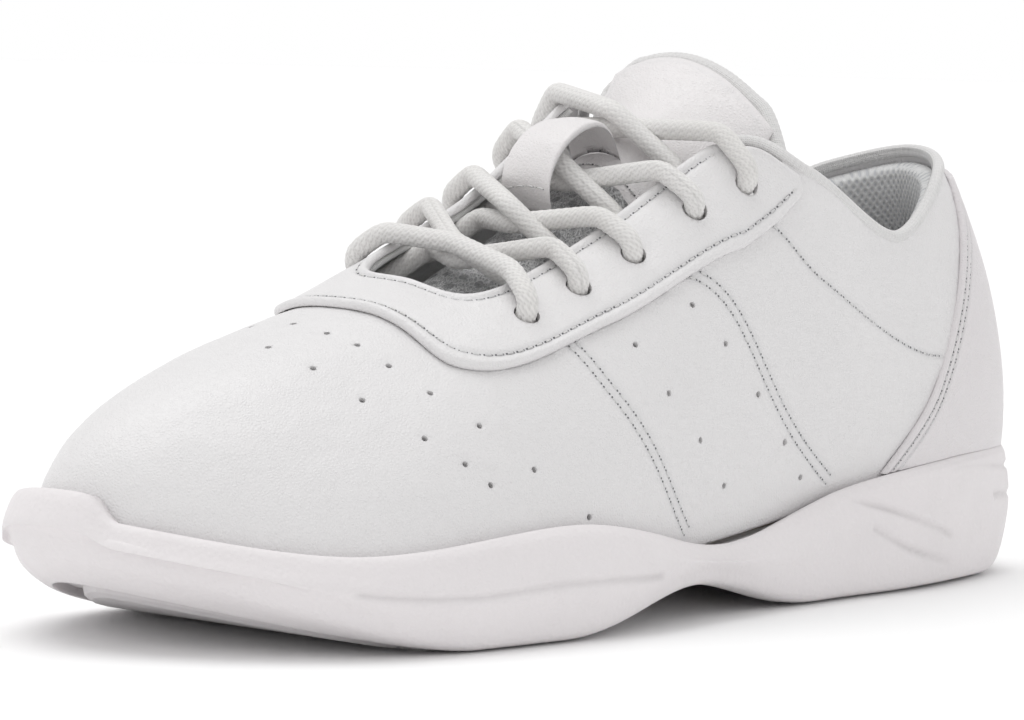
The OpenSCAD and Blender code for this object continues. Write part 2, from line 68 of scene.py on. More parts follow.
# Ribs of the upper round the shoe, as in the part: base s, x; top s, x, z; rise, bulge, reach, drop.
RIBS = np.array([
    [5, 1, 19.5, 2, 91, 30, 3.8, 8, 16],
    [13, 20, 29, 17, 87, 28, 6, 7, 16],
    [44, 30, 56, 27, 74, 20, 6, 1, 16],
    [84, 33, 90, 31, 88, 24, 5, 3, 22],
    [126, 37, 105, 20, 94, 22, 4, 13, 8],
    [174, 43, 142, 15, 74, 18, 5, 15, 5],
    [228, 35, 171, 14, 64, 20, 5, 14, 7],
    [258, -7, 176, 1, 66, 31, 7, 33, 9],
    [234, -36, 174, -11, 69, 25, 5, 17, 9],
    [184, -41, 142, -14, 81, 23, 5, 15, 6],
    [126, -31, 105, -20, 101, 26, 4, 12, 9],
    [84, -28, 90, -30, 94, 28, 4, 3, 22],
    [44, -26, 56, -26, 78, 22, 5, 1, 18],
    [13, -17, 29, -14, 87, 28, 5, 6, 16]], float)
RIM = np.array([27, 27.5, 27, 23, 15, 22.5, 19.3, 25.5, 20, 20, 20, 24, 27, 27.5], float)[:, None]
TONGUE = np.array([
    [190, -1, 54, 10, 1, 3],
    [174, -1, 61, 12, 2, 5],
    [155, -1, 69.5, 16, 2, 8.5],
    [132, 0, 80.3, 18, 3, 11.3],
    [111, 0, 95, 19, 4, 14.5],
    [98, -1, 103.5, 21, 5, 12],
    [90, -2, 109, 22, 5, 9]], float)
AROUND = len(RIBS)
TOE = AROUND / 2
TONGUE_END = len(TONGUE) - 1
CAP_P = 3.4


# ---- curves and surfaces ----
def clamp01(f):
    return np.clip(f, 0.0, 1.0)


def smooth(f):
    c = clamp01(f)
    return c * c * (3 - 2 * c)


def mix(a, b, f):
    return a * (1 - f) + b * f


def unit(a):
    return a / np.linalg.norm(a, axis=-1, keepdims=True)


def cubic(a, b, c, d, f):
    return b + (c - a) * f / 2 + (2 * a - 5 * b + 4 * c - d) * f**2 / 2 + (3 * b - a - 3 * c + d) * f**3 / 2


def ring_at(tab, u):
    """A closed table read at u."""
    u = np.asarray(u, float)
    i = np.floor(u).astype(int)
    f = (u - i)[..., None]
    return cubic(*(tab[np.mod(i + k, len(tab))] for k in (-1, 0, 1, 2)), f)


def row_at(tab, p):
    """An open table read at p, carried on straight past its ends."""
    long = np.vstack([2 * tab[0] - tab[1], tab, 2 * tab[-1] - tab[-2]])
    p = np.asarray(p, float)
    i = np.clip(np.floor(p).astype(int), 0, len(tab) - 2)
    f = (p - i)[..., None]
    return cubic(*(long[i + k] for k in (0, 1, 2, 3)), f)


def bed_z(s):
    return mix(HEEL_BED, BALL_BED, smooth((s - 60) / 120)) + 0.7 * TOE_SPRING * clamp01((s - 205) / 63) ** 2


def ground_z(s):
    heel = 9 * clamp01((24 - s) / 24) ** 2
    arch = 7 * np.maximum(0, np.sin(math.pi * clamp01((s - 92) / 86))) ** 2
    return -0.5 + heel + arch + (TOE_SPRING + 1) * clamp01((s - 202) / 66) ** 1.5


def base_at(u):
    r = ring_at(RIBS, u)
    return np.stack([r[..., 1], HEEL_Y - r[..., 0], bed_z(r[..., 0]) + 0.6], -1)


def out_at(u):
    d = base_at(u + 0.05) - base_at(u - 0.05)
    return unit(np.stack([-d[..., 1], d[..., 0], 0 * d[..., 0]], -1))


def skin(u, v):
    """Point of the upper's outer surface: u round the shoe, v from the sole to the top line."""
    u, v = np.broadcast_arrays(np.asarray(u, float), np.asarray(v, float))
    r = ring_at(RIBS, u)
    up = np.array([0, 0, 1.0])
    p, o = base_at(u), out_at(u)
    t = np.stack([r[..., 3], HEEL_Y - r[..., 2], r[..., 4]], -1)
    b = p + o * r[..., 6:7] + up * r[..., 5:6]
    c = t + o * r[..., 7:8] - up * r[..., 8:9]
    v = v[..., None]
    w = 1 - v
    return p * w**3 + 3 * b * w * w * v + 3 * c * w * v * v + t * v**3


def skin_n(u, v):
    along = skin(u + 0.02, v) - skin(u - 0.02, v)
    up = skin(u, v + 0.01) - skin(u, v - 0.01)
    return unit(np.cross(up, along))


def skin_t(u, v, t):
    t = np.asarray(t, float)
    return skin(u, v) + skin_n(u, v) * (t[..., None] if t.ndim else t)


def v_down(u, d):
    """Where on the rib a distance d down from the top line is reached."""
    r = ring_at(RIBS, u)
    f = d / (3 * np.hypot(r[..., 7], r[..., 8]))
    return 1 - f * (1 - 0.45 * f)


def v_at_z(u, z):
    """Where on the rib a height is reached, by halving."""
    lo, hi = np.zeros(np.shape(u)), np.full(np.shape(u), 0.7)
    for _ in range(12):
        half = (lo + hi) / 2
        low = skin(u, half)[..., 2] < z
        lo, hi = np.where(low, half, lo), np.where(low, hi, half)
    return (lo + hi) / 2


def throat(u):
    return smooth((3.7 - abs(u - TOE)) / 0.5)


def stay_full(u):
    return STAY_W * (1 - 0.1 * smooth((1.6 - abs(u - TOE)) / 1.2))


def stay_w(u):
    return mix(4.2, stay_full(u), clamp01((3.85 - abs(u - TOE)) / 0.9) ** 0.6)


def stay_top(u):
    return mix(2.6, 0.4, smooth((3.05 - abs(u - TOE)) / 0.2))


def tongue_mid(p, q):
    r = row_at(TONGUE, p)
    f = q / r[..., 3]
    return np.stack([r[..., 1] + q, HEEL_Y - r[..., 0], r[..., 2] - r[..., 4] * f - r[..., 5] * f * f], -1)


def tongue_p(p, f, t):
    """Point of the tongue: p from root to tip, f from -1 to 1 across, t out of it."""
    p, f = np.broadcast_arrays(np.asarray(p, float), np.asarray(f, float))
    q = f * row_at(TONGUE, p)[..., 3]
    across = tongue_mid(p, q + 0.2) - tongue_mid(p, q - 0.2)
    along = tongue_mid(p + 0.02, q) - tongue_mid(p - 0.02, q)
    n = unit(np.cross(across, along))
    t = np.asarray(t, float)
    return tongue_mid(p, q) + n * (t[..., None] if t.ndim else t)


def eased(n):
    """n + 1 places from 0 to 1, closer together at both ends."""
    return (1 - np.cos(np.linspace(0, math.pi, n + 1))) / 2


def fold(d, r):
    """Rounded edge: 0.12 at the edge, 1 from a distance r inward."""
    return 0.12 + 0.88 * np.sqrt(1 - (1 - clamp01(d / r)) ** 2)


def soft_noise(points, size, seed=0.0, octaves=3):
    """Smooth noise about -1..1 whose features are about size across."""
    shift = Vector((seed, 2.3 * seed, -1.7 * seed))
    flat = points.reshape(-1, 3) / size
    values = [noise.fractal(Vector(p) + shift, 0.9, 2.0, octaves) for p in flat]
    return np.array(values).reshape(points.shape[:-1])


def near(points, marks, radius):
    """A bump of height 1 at each mark, fading over radius."""
    if not len(marks):
        return np.zeros(points.shape[:-1])
    flat = points.reshape(-1, 3)
    best = np.full(len(flat), 1e9)
    for start in range(0, len(marks), 100):
        part = np.asarray(marks)[start:start + 100]
        d = ((flat[:, None, :] - part[None, :, :]) ** 2).sum(-1).min(1)
        best = np.minimum(best, d)
    return np.exp(-best / radius**2).reshape(points.shape[:-1])


def circle(count):
    """Even angles once round."""
    return np.linspace(0, 2 * math.pi, count, endpoint=False)


def run_along(points):
    """Length run so far at each point of a line."""
    return np.concatenate([[0], np.cumsum(np.linalg.norm(np.diff(points, axis=0), axis=1))])


def read_at(places, run, values):
    """Points of a line at the given lengths along it."""
    return np.stack([np.interp(places, run, values[:, k]) for k in range(3)], -1)


# ---- meshes ----
def linked(name, data):
    o = bpy.data.objects.new(name, data)
    bpy.context.scene.collection.objects.link(o)
    return o


def add_mesh(name, points, faces, look, body, uv=None, marks=None):
    mesh = bpy.data.meshes.new(name)
    faces = faces.tolist() if hasattr(faces, "tolist") else faces
    mesh.from_pydata((np.asarray(points) * MM).tolist(), [], faces)
    mesh.polygons.foreach_set("use_smooth", [True] * len(mesh.polygons))
    if uv is not None:
        corner = np.zeros(len(mesh.loops), int)
        mesh.loops.foreach_get("vertex_index", corner)
        mesh.uv_layers.new(name="mm").data.foreach_set("uv", np.asarray(uv, np.float32)[corner].ravel())
    # marks: amount of painted shade at each point, for grooves, troughs and creases, kept as a point
    # attribute that the looks darken by
    if marks is not None:
        groove_shade = mesh.attributes.new("groove_shade", "FLOAT", "POINT")
        groove_shade.data.foreach_set("value", np.asarray(marks, np.float32).ravel())
    mesh.materials.append(look)
    mesh.validate()
    o = linked(name, mesh)
    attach(o, body)
    return o


def quads(n, m, start, wrap_n=False, wrap_m=False, flip=False):
    i, j = np.meshgrid(np.arange(n if wrap_n else n - 1), np.arange(m if wrap_m else m - 1), indexing="ij")
    i2, j2 = (i + 1) % n, (j + 1) % m
    q = np.stack([i * m + j, i * m + j2, i2 * m + j2, i2 * m + j], -1).reshape(-1, 4) + start
    return q[:, ::-1] if flip else q


def lengths(grid):
    """Millimetres along and across a grid, as uv."""
    along = np.linalg.norm(np.diff(grid, axis=0), axis=-1).mean(1)
    across = np.linalg.norm(np.diff(grid, axis=1), axis=-1)
    a = np.concatenate([[0], np.cumsum(along)])[:, None] * np.ones(grid.shape[1])
    b = np.concatenate([np.zeros((len(grid), 1)), np.cumsum(across, 1)], 1)
    return np.stack([a, b - b[:, -1:] / 2], -1)


def slab(name, outer, inner, look, body, closed=False, marks=None):
    """A closed piece between an outer and an inner grid of points."""
    n, m = outer.shape[:2]
    k = n * m
    faces = [quads(n, m, 0, closed), quads(n, m, k, closed, flip=True)]
    i = np.arange(n if closed else n - 1)
    i2 = (i + 1) % n
    faces.append(np.stack([i * m, i2 * m, k + i2 * m, k + i * m], -1))
    faces.append(np.stack([i * m + m - 1, k + i * m + m - 1, k + i2 * m + m - 1, i2 * m + m - 1], -1))
    if not closed:
        j = np.arange(m - 1)
        e = (n - 1) * m
        faces.append(np.stack([j, k + j, k + j + 1, j + 1], -1))
        faces.append(np.stack([e + j, e + j + 1, k + e + j + 1, k + e + j], -1))
    uv = lengths(outer).reshape(-1, 2)
    points = np.concatenate([outer.reshape(-1, 3), inner.reshape(-1, 3)])
    both = None if marks is None else np.concatenate([marks.ravel(), 0 * marks.ravel()])
    return add_mesh(name, points, np.concatenate(faces), look, body, np.concatenate([uv, uv]), both)


def resample(points, step):
    """Even points along a smooth curve through the given ones."""
    points = np.asarray(points, float)
    fine = row_at(points, np.linspace(0, len(points) - 1, 12 * len(points)))
    run = run_along(fine)
    places = np.linspace(0, run[-1], max(2, round(run[-1] / step) + 1))
    return read_at(places, run, fine), places


def carried_frames(path):
    """Two directions square to a path, carried along it without twist."""
    axis = unit(np.gradient(path, axis=0))
    x = np.cross(axis[0], [0.1, 0.3, 1])
    sides = []
    for a in axis:
        x = x - (x @ a) * a
        x = x / np.linalg.norm(x)
        sides.append(x)
    sides = np.array(sides)
    return sides, np.cross(axis, sides)


def tube(name, path, radius, sides, look, body, places=None, marks=None):
    """A round cord whose radius may be a number or a grid of (ring, side)."""
    n = len(path)
    x, y = carried_frames(path)
    a = circle(sides)
    radius = np.broadcast_to(np.asarray(radius, float), (n, sides))
    ring = x[:, None] * np.cos(a)[:, None] + y[:, None] * np.sin(a)[:, None]
    points = (path[:, None] + ring * radius[..., None]).reshape(-1, 3)
    ends = [list(range(sides - 1, -1, -1)), list(range((n - 1) * sides, n * sides))]
    faces = quads(n, sides, 0, wrap_m=True, flip=True).tolist() + ends
    if places is None:
        places = np.arange(n)
    uv = np.stack(np.broadcast_arrays(places[:, None], (a * radius.mean())[None, :]), -1).reshape(-1, 2)
    return add_mesh(name, points, faces, look, body, uv, marks)


# ---- looks ----
def darker(color, share):
    return tuple(c * share for c in color)


class Look:
    """A node material, built node by node."""

    def __init__(self, name, roughness=0.5, sheen=0.0, coat=0.0, specular=0.5, metallic=0.0):
        self.material = bpy.data.materials.new(name)
        self.material.use_nodes = True
        self.tree = self.material.node_tree
        self.shader = self.tree.nodes["Principled BSDF"]
        self.normal = None
        for socket, value in (("Roughness", roughness), ("Sheen Weight", sheen), ("Coat Weight", coat),
                              ("Specular IOR Level", specular), ("Metallic", metallic)):
            self.shader.inputs[socket].default_value = value

    def put(self, node, socket, value):
        target = node.inputs[socket]
        if hasattr(value, "is_output"):
            self.tree.links.new(value, target)
        elif target.type == "RGBA" and len(value) == 3:
            target.default_value = (*value, 1.0)
        else:
            target.default_value = value

    def node(self, kind, inputs, out=0, **settings):
        n = self.tree.nodes.new(kind)
        for key, value in settings.items():
            setattr(n, key, value)
        for socket, value in inputs.items():
            self.put(n, socket, value)
        return n.outputs[out]

    def place(self):
        """Object coordinates in millimetres."""
        co = self.node("ShaderNodeTexCoord", {}, "Object")
        return self.node("ShaderNodeVectorMath", {0: co, 1: (1000, 1000, 1000)}, operation="MULTIPLY")

    def uv(self, turn=0.0, scale=(1, 1, 1)):
        mm = self.node("ShaderNodeUVMap", {}, "UV", uv_map="mm")
        return self.node("ShaderNodeMapping", {"Vector": mm, "Rotation": (0, 0, turn), "Scale": scale})

    def noise(self, at, size, detail=3.0, distortion=0.0):
        values = {"Vector": at, "Scale": 1 / size, "Detail": detail, "Distortion": distortion}
        return self.node("ShaderNodeTexNoise", values, "Fac")

    def cells(self, at, size, feature="F1", jitter=1.0, dimensions="3D"):
        values = {"Vector": at, "Scale": 1 / size, "Randomness": jitter}
        return self.node("ShaderNodeTexVoronoi", values, "Distance", feature=feature,
                         voronoi_dimensions=dimensions)

    def range(self, value, a, b, low, high):
        values = {"Value": value, "From Min": a, "From Max": b, "To Min": low, "To Max": high}
        return self.node("ShaderNodeMapRange", values, "Result")

    def blend(self, factor, a, b):
        n = self.tree.nodes.new("ShaderNodeMix")
        n.data_type = "RGBA"
        self.put(n, 0, factor)
        self.put(n, 6, a)
        self.put(n, 7, b)
        return n.outputs[2]

    # Amount of painted shade in grooves, troughs and creases, read from the mesh's point attribute.
    def groove_shade(self):
        return self.node("ShaderNodeAttribute", {}, "Fac", attribute_name="groove_shade")

    def bump(self, height, depth, strength=1.0):
        values = {"Height": height, "Distance": depth * MM, "Strength": strength}
        if self.normal is not None:
            values["Normal"] = self.normal
        self.normal = self.node("ShaderNodeBump", values, "Normal")

    def done(self, color=None, roughness=None):
        if color is not None:
            self.put(self.shader, "Base Color", color)
        if roughness is not None:
            self.put(self.shader, "Roughness", roughness)
        if self.normal is not None:
            self.put(self.shader, "Normal", self.normal)
        return self.material


def leather(name, color, roughness=0.42, grain=1.0, fold_depth=0.12):
    """Coated leather: pebble cells, pores, soft flex folds, and painted shade, greyer, in creases and stitch
    troughs.
    """
    k = Look(name, sheen=0.06, coat=0.12)
    k.shader.inputs["Coat Roughness"].default_value = 0.35
    at = k.place()
    tone = k.noise(at, 34, 2)
    grime = k.noise(at, 3.2, 4)
    shade = k.blend(tone, color, darker(color, 0.965))
    soiled = k.blend(k.range(grime, 0.62, 0.9, 0, 0.35), shade, (0.80, 0.79, 0.77))
    # painted shade: greyer where the mesh marks creases, stitch troughs and seams
    final = k.blend(k.range(k.groove_shade(), 0, 1, 0, 0.5), soiled, (0.62, 0.62, 0.63))
    k.bump(k.noise(at, 7.5, 4, 0.6), fold_depth)
    k.bump(k.cells(at, 0.75, "DISTANCE_TO_EDGE"), 0.14 * grain)
    k.bump(k.noise(at, 0.28, 2), 0.035 * grain)
    return k.done(final, k.range(k.noise(at, 5, 3), 0.3, 0.7, roughness - 0.05, roughness + 0.07))


def moulded(name, color, pebble=1.0, roughness=0.56):
    """Moulded foam or rubber with a fine pebbled skin, and painted shade in its moulded grooves."""
    k = Look(name, specular=0.38)
    at = k.place()
    dusty = k.range(k.noise(at, 16, 4), 0.45, 0.8, 0, 0.4)
    shade = k.blend(dusty, color, darker(color, 0.93))
    # painted shade: darker in the moulded grooves the mesh marks
    final = k.blend(k.range(k.groove_shade(), 0, 1, 0, 0.55), shade, darker(color, 0.72))
    k.bump(k.cells(at, 0.95, "SMOOTH_F1"), -0.11 * pebble)
    k.bump(k.noise(at, 0.35, 2), 0.04 * pebble)
    return k.done(final, k.range(k.noise(at, 4, 2), 0.3, 0.7, roughness - 0.06, roughness + 0.06))


def knit(name, color, hole_shade, pitch, hole, depth, turn=math.pi / 4):
    """Knitted mesh with a regular pattern of round gaps, painted dark in the gaps as painted shade."""
    k = Look(name, roughness=0.72, sheen=0.25)
    at = k.uv(turn)
    dots = k.cells(at, pitch, "F1", 0.12, "2D")
    yarn = k.noise(k.uv(turn, (1, 4, 1)), 0.45, 3)
    # painted shade: the gaps take the dark colour
    gap = k.range(dots, hole * 0.75, hole, 1, 0)
    fibre = k.blend(yarn, color, darker(color, 0.78))
    k.bump(k.range(dots, 0.1, 0.5, 0, 1), depth)
    k.bump(yarn, depth * 0.35)
    return k.done(k.blend(gap, fibre, hole_shade), k.range(yarn, 0.3, 0.7, 0.6, 0.85))


def cloth(name, color, pitch=0.5, depth=0.1, shadow=0.35):
    """Plain woven or ribbed textile, from two crossed waves, with painted shadow between the threads and
    painted shade in its grooves.
    """
    k = Look(name, roughness=0.8, sheen=0.3)
    at = k.uv()
    waves = [k.node("ShaderNodeTexWave", {"Vector": at, "Scale": 1 / (math.pi * pitch), "Distortion": 0.6},
                    "Fac", bands_direction=axis) for axis in "XY"]
    weave = k.node("ShaderNodeMath", {0: waves[0], 1: waves[1]}, operation="MULTIPLY")
    tone = k.noise(k.place(), 9, 3)
    shade = k.blend(k.range(weave, 0, 1, shadow, 0), k.blend(tone, color, darker(color, 0.94)),
                    darker(color, 0.6))
    # painted shade: darker in the grooves the mesh marks
    final = k.blend(k.range(k.groove_shade(), 0, 1, 0, 0.45), shade, darker(color, 0.7))
    k.bump(weave, depth)
    k.bump(k.noise(k.place(), 0.3, 2), depth * 0.4)
    return k.done(final)


def silver_net(name, color, gap_shade):
    """Crinkled open net: threads in their own colour, the gaps between them painted dark as painted shade and
    lifted in patches by noise, over a sparse row of dull dots.
    """
    k = Look(name, roughness=0.5, metallic=0.25, sheen=0.2)
    bent = k.node("ShaderNodeMapping", {"Vector": k.uv(0.5), "Scale": (1, 1.6, 1)})
    threads = k.cells(bent, 1.5, "DISTANCE_TO_EDGE", 0.9, "2D")
    fine = k.noise(bent, 0.7, 4, 1.5)
    # painted shade: the gaps between threads take the dark colour
    net = k.blend(k.range(threads, 0.05, 0.22, 0, 0.8), color, gap_shade)
    glitter = k.blend(k.range(fine, 0.42, 0.6, 0, 0.75), net, color)
    dots = k.cells(k.uv(), 4.6, "F1", 0.15, "2D")
    k.bump(k.range(threads, 0, 0.3, 1, 0), 0.5)
    k.bump(fine, 0.5)
    return k.done(k.blend(k.range(dots, 0.20, 0.24, 0.85, 0), glitter, (0.36, 0.36, 0.37)))


def cord_look(name, color):
    """Braided cord: fibres along each strand, and painted shade between the strands."""
    k = Look(name, roughness=0.68, sheen=0.35)
    fibres = k.noise(k.uv(0.5, (1, 6, 1)), 0.5, 3)
    tone = k.noise(k.place(), 14, 2)
    strand = k.blend(k.range(fibres, 0.35, 0.7, 0, 0.6), color, darker(color, 0.86))
    shade = k.blend(k.range(tone, 0.4, 0.7, 0, 0.4), strand, (0.84, 0.82, 0.79))
    k.bump(fibres, 0.12)
    # painted shade: darker between the strands, where the mesh marks grooves
    return k.done(k.blend(k.range(k.groove_shade(), 0, 1, 0, 0.65), shade, (0.60, 0.585, 0.57)))


def plain(name, color, roughness, metallic=0.0, brushed=0.0, alpha=1.0):
    """Hidden pieces: pressed board, foam, steel and film, each with its own grain."""
    k = Look(name, roughness=roughness, metallic=metallic)
    at = k.place()
    speck = k.noise(at, 0.8, 3)
    k.bump(k.noise(at, 0.4 + brushed, 3), 0.08)
    k.put(k.shader, "Alpha", alpha)
    return k.done(k.blend(speck, color, darker(color, 0.85)),
                  k.range(speck, 0.3, 0.7, roughness - 0.08, roughness + 0.08))


WHITE = (0.80, 0.787, 0.79)
LEATHER = leather("coated_leather", WHITE, grain=1.3, fold_depth=0.34)
TONGUE_LEATHER = leather("soft_tongue_leather", (0.82, 0.795, 0.797), 0.46, 1.5, 0.6)
STAY_LEATHER = leather("eyestay_leather", WHITE, 0.4, 1.3, 0.42)
HEEL_LEATHER = leather("heel_panel_leather", (0.76, 0.73, 0.74), grain=1.2, fold_depth=0.24)
FOAM = moulded("pebbled_foam", (0.82, 0.787, 0.795), 1.3)
RUBBER = moulded("outsole_rubber", (0.77, 0.742, 0.75), 0.7, 0.5)
# the second colour is the painted shade in the knit's gaps
SPACER = knit("spacer_mesh", (0.80, 0.80, 0.80), (0.55, 0.56, 0.58), 1.5, 0.28, 0.25)
# the second colour is the painted shade in the net's gaps
OPEN_MESH = silver_net("open_mesh", (0.86, 0.86, 0.865), (0.30, 0.30, 0.31))
RIBBED = cloth("ribbed_binding", (0.86, 0.85, 0.845), 0.45, 0.12, shadow=0.12)
LINING = cloth("woven_lining", (0.78, 0.78, 0.77), 0.55, 0.1)
LINER = cloth("liner_knit", (0.72, 0.72, 0.74), 0.8, 0.12)
LACE = cord_look("braided_lace", (0.95, 0.935, 0.92))
THREAD = cord_look("thread", (0.74, 0.74, 0.74))
# painted shade: near-black discs standing in for the shade inside needle holes
NEEDLE_SHADE = plain("needle_hole_shade", (0.16, 0.16, 0.17), 0.9)


# ---- stitches ----
thread_parts = {}
needle_shade_parts = {}
STITCH_SIDES = 6
STITCH_RINGS = 7
NEEDLE_SIDES = 8
LINE_POINTS = 60


def stitch_row(points, normals, body="shoe", length=1.75, gap=0.8, radius=0.2, lift=0.1):
    """Short arched threads along a line, with a dark disc at each end as the painted shade of a needle hole.
    """
    run = run_along(points)
    count = max(1, int(run[-1] // (length + gap)))
    pitch = run[-1] / count
    for k in range(count):
        start = k * pitch + gap / 2
        places = np.linspace(start, start + pitch - gap, STITCH_RINGS)
        arch = np.sin(np.linspace(0, math.pi, STITCH_RINGS))
        n = unit(read_at(places, run, normals))
        path = read_at(places, run, points) + n * (lift * 2 * arch - 0.12)[:, None]
        axis = unit(np.gradient(path, axis=0))
        side = unit(np.cross(n, axis))
        a = circle(STITCH_SIDES)
        thick = radius * (0.55 + 0.45 * arch)
        ring = side[:, None] * np.cos(a)[:, None] + n[:, None] * np.sin(a)[:, None]
        thread_parts.setdefault(body, []).append((path[:, None] + ring * thick[:, None, None]).reshape(-1, 3))
        # a dark disc at each end of the stitch, painted shade of the needle hole
        for end in (0, -1):
            b = circle(NEEDLE_SIDES)
            disc = side[end] * np.cos(b)[:, None] + axis[end] * np.sin(b)[:, None]
            centre = read_at(places[end:][:1], run, points)[0] + n[end] * 0.035
            needle_shade_parts.setdefault(body, []).append(centre + disc * radius * 1.1)


def finish_stitches():
    for body, parts in thread_parts.items():
        one = quads(STITCH_RINGS, STITCH_SIDES, 0, wrap_m=True, flip=True)
        faces = np.concatenate([one + k * STITCH_RINGS * STITCH_SIDES for k in range(len(parts))])
        points = np.concatenate(parts)
        uv = points[:, :2]
        add_mesh(f"stitches_{body}", points, faces, THREAD, body, uv)
    # dark discs that paint the shade of the needle holes
    for body, parts in needle_shade_parts.items():
        faces = np.arange(len(parts) * NEEDLE_SIDES).reshape(-1, NEEDLE_SIDES)
        add_mesh(f"needle_hole_shades_{body}", np.concatenate(parts), faces, NEEDLE_SHADE, body)


def uv_line(marks, count=LINE_POINTS):
    """A smooth line through (u, v) marks on the skin."""
    line = row_at(np.asarray(marks, float), np.linspace(0, len(marks) - 1, count))
    return line[:, 0], line[:, 1]


def mirrored(marks):
    return [(AROUND - u, v) for u, v in marks]


def beside(marks, shift):
    """Points of a line on the skin, moved sideways along the surface by shift."""
    u, v = uv_line(marks)
    p, n = skin(u, v), skin_n(u, v)
    side = unit(np.cross(n, unit(np.gradient(p, axis=0))))
    return p + side * shift, n


# ---- upper: stitch lines, air holes and relief ----
SADDLE_FRONT = [(5.26, 0.655), (4.72, 0.36), (4.22, 0.07)]
SADDLE_BACK = [(4.55, 0.70), (3.78, 0.40), (3.04, 0.10)]
COLLAR_LINE = [(3.94, 0.725), (2.9, 0.665), (1.84, 0.50)]
LINE_PAIR = 1.1
UPPER_LINES = []
for marks in (SADDLE_FRONT, SADDLE_BACK):
    for line in (marks, mirrored(marks)):
        for shift in (-LINE_PAIR, LINE_PAIR):
            UPPER_LINES.append(beside(line, shift))
for line in (COLLAR_LINE, mirrored(COLLAR_LINE)):
    UPPER_LINES.append(beside(line, 0))

HOLE_R = 0.62
HOLE_ROWS = [
    ([(7.09, 0.747), (6.56, 0.695), (5.82, 0.515), (4.97, 0.195)], 8),
    ([(6.96, 0.640), (6.44, 0.560), (5.84, 0.420), (5.54, 0.315)], 6),
    ([(4.82, 0.575), (4.56, 0.420), (4.24, 0.280), (3.96, 0.155)], 4),
    ([(4.66, 0.670), (4.44, 0.585), (4.14, 0.460), (3.78, 0.340), (3.48, 0.225), (3.30, 0.125)], 6)]
TOE_ROWS = 2
SHARED_HOLES = 2


def hole_places():
    """Holes of both sides; the mirrored toe rows leave out the holes near the middle."""
    u_all, v_all = [], []
    for k, (marks, count) in enumerate(HOLE_ROWS):
        for line in (marks, mirrored(marks)):
            u, v = uv_line(line, count)
            keep = slice(SHARED_HOLES if k < TOE_ROWS and line is not marks else 0, None)
            u_all.extend(u[keep])
            v_all.extend(v[keep])
    return np.array(u_all), np.array(v_all)


HOLE_U, HOLE_V = hole_places()


def cutter(name, centres, normals, radius, depth, sides=16):
    """Cylinders to cut holes with, as one closed mesh."""
    points, faces = [], []
    a = circle(sides)
    for k, (c, n) in enumerate(zip(centres, normals)):
        x = unit(np.cross(n, [0.2, 1, 0.1]))
        ring = x * np.cos(a)[:, None] + np.cross(n, x) * np.sin(a)[:, None]
        points += [c + n * depth + ring * radius, c - n * depth + ring * radius]
        b = 2 * k * sides
        faces += [[b + i for i in range(sides)], [b + sides + i for i in range(sides - 1, -1, -1)]]
        for i in range(sides):
            j = (i + 1) % sides
            faces.append([b + i, b + sides + i, b + sides + j, b + j])
    mesh = bpy.data.meshes.new(name)
    mesh.from_pydata((np.concatenate(points) * MM).tolist(), [], faces)
    return linked(name, mesh)


def cut(piece, centres, normals, radius, depth):
    """Cuts round holes through a piece."""
    tool = cutter("cutter", centres, normals, radius, depth)
    m = piece.modifiers.new("holes", "BOOLEAN")
    m.operation = "DIFFERENCE"
    m.solver = "MANIFOLD"
    m.object = tool
    graph = bpy.context.evaluated_depsgraph_get()
    done = bpy.data.meshes.new_from_object(piece.evaluated_get(graph))
    piece.modifiers.clear()
    piece.data = done
    bpy.data.objects.remove(tool)


def upper():
    rows, cols = 620, 110
    u = np.arange(rows) * AROUND / rows
    top = v_down(u, mix(1.1, 14.0, throat(u)))
    v = top[:, None] * np.linspace(0.02, 1, cols)
    uu = np.broadcast_to(u[:, None], v.shape)
    p = skin(uu, v)
    troughs = np.zeros(v.shape)
    puff = np.zeros(v.shape)
    for points, _ in UPPER_LINES:
        troughs = np.maximum(troughs, near(p, points, 0.9))
        puff = np.maximum(puff, near(p, points, 3.4))
    dimple = near(p, skin(HOLE_U, HOLE_V), 1.1)
    edge = near(p, skin_t(u, v_down(u, stay_w(u)), 0), 1.6) * throat(uu)
    s = HEEL_Y - p[..., 1]
    flex = smooth((s - 176) / 12) * smooth((236 - s) / 20) * smooth((abs(uu - TOE) - 0.5) / 1.0)
    folds = soft_noise(p * np.array([0.5, 1.5, 0.9]), 6.0, 3.0)
    sag = soft_noise(p, 40.0, 9.0, 2)
    crease = soft_noise(p * np.array([1, 0.55, 1.3]), 11.0, 5.0)
    relief = (0.35 * sag + 0.16 * crease + 0.24 * folds * flex) * (1 - puff)
    relief += 0.3 * puff - 0.42 * troughs - 0.22 * dimple - 0.15 * edge
    relief *= smooth((v - 0.04) / 0.08)
    outer = skin_t(uu, v, relief)
    inner = skin_t(uu, v, -LEATHER_T)
    # marks: painted shade in the stitch troughs and round the air holes
    o = slab("upper_leather", outer, inner, LEATHER, "shoe", True, clamp01(0.75 * troughs + 0.3 * dimple))
    cut(o, skin(HOLE_U, HOLE_V), skin_n(HOLE_U, HOLE_V), HOLE_R, 4.0)
    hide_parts("upper_shell")
    for points, normals in UPPER_LINES:
        stitch_row(points, normals, lift=0.05)


def eye_u(side, k):
    u = 5.6 - 0.4 * (k - 1)
    return u if side == 0 else AROUND - u


def eyes():
    u = np.array([eye_u(side, k) for side in (0, 1) for k in range(1, 6)])
    v = v_down(u, EYELET_DOWN)
    return skin(u, v), skin_n(u, v)


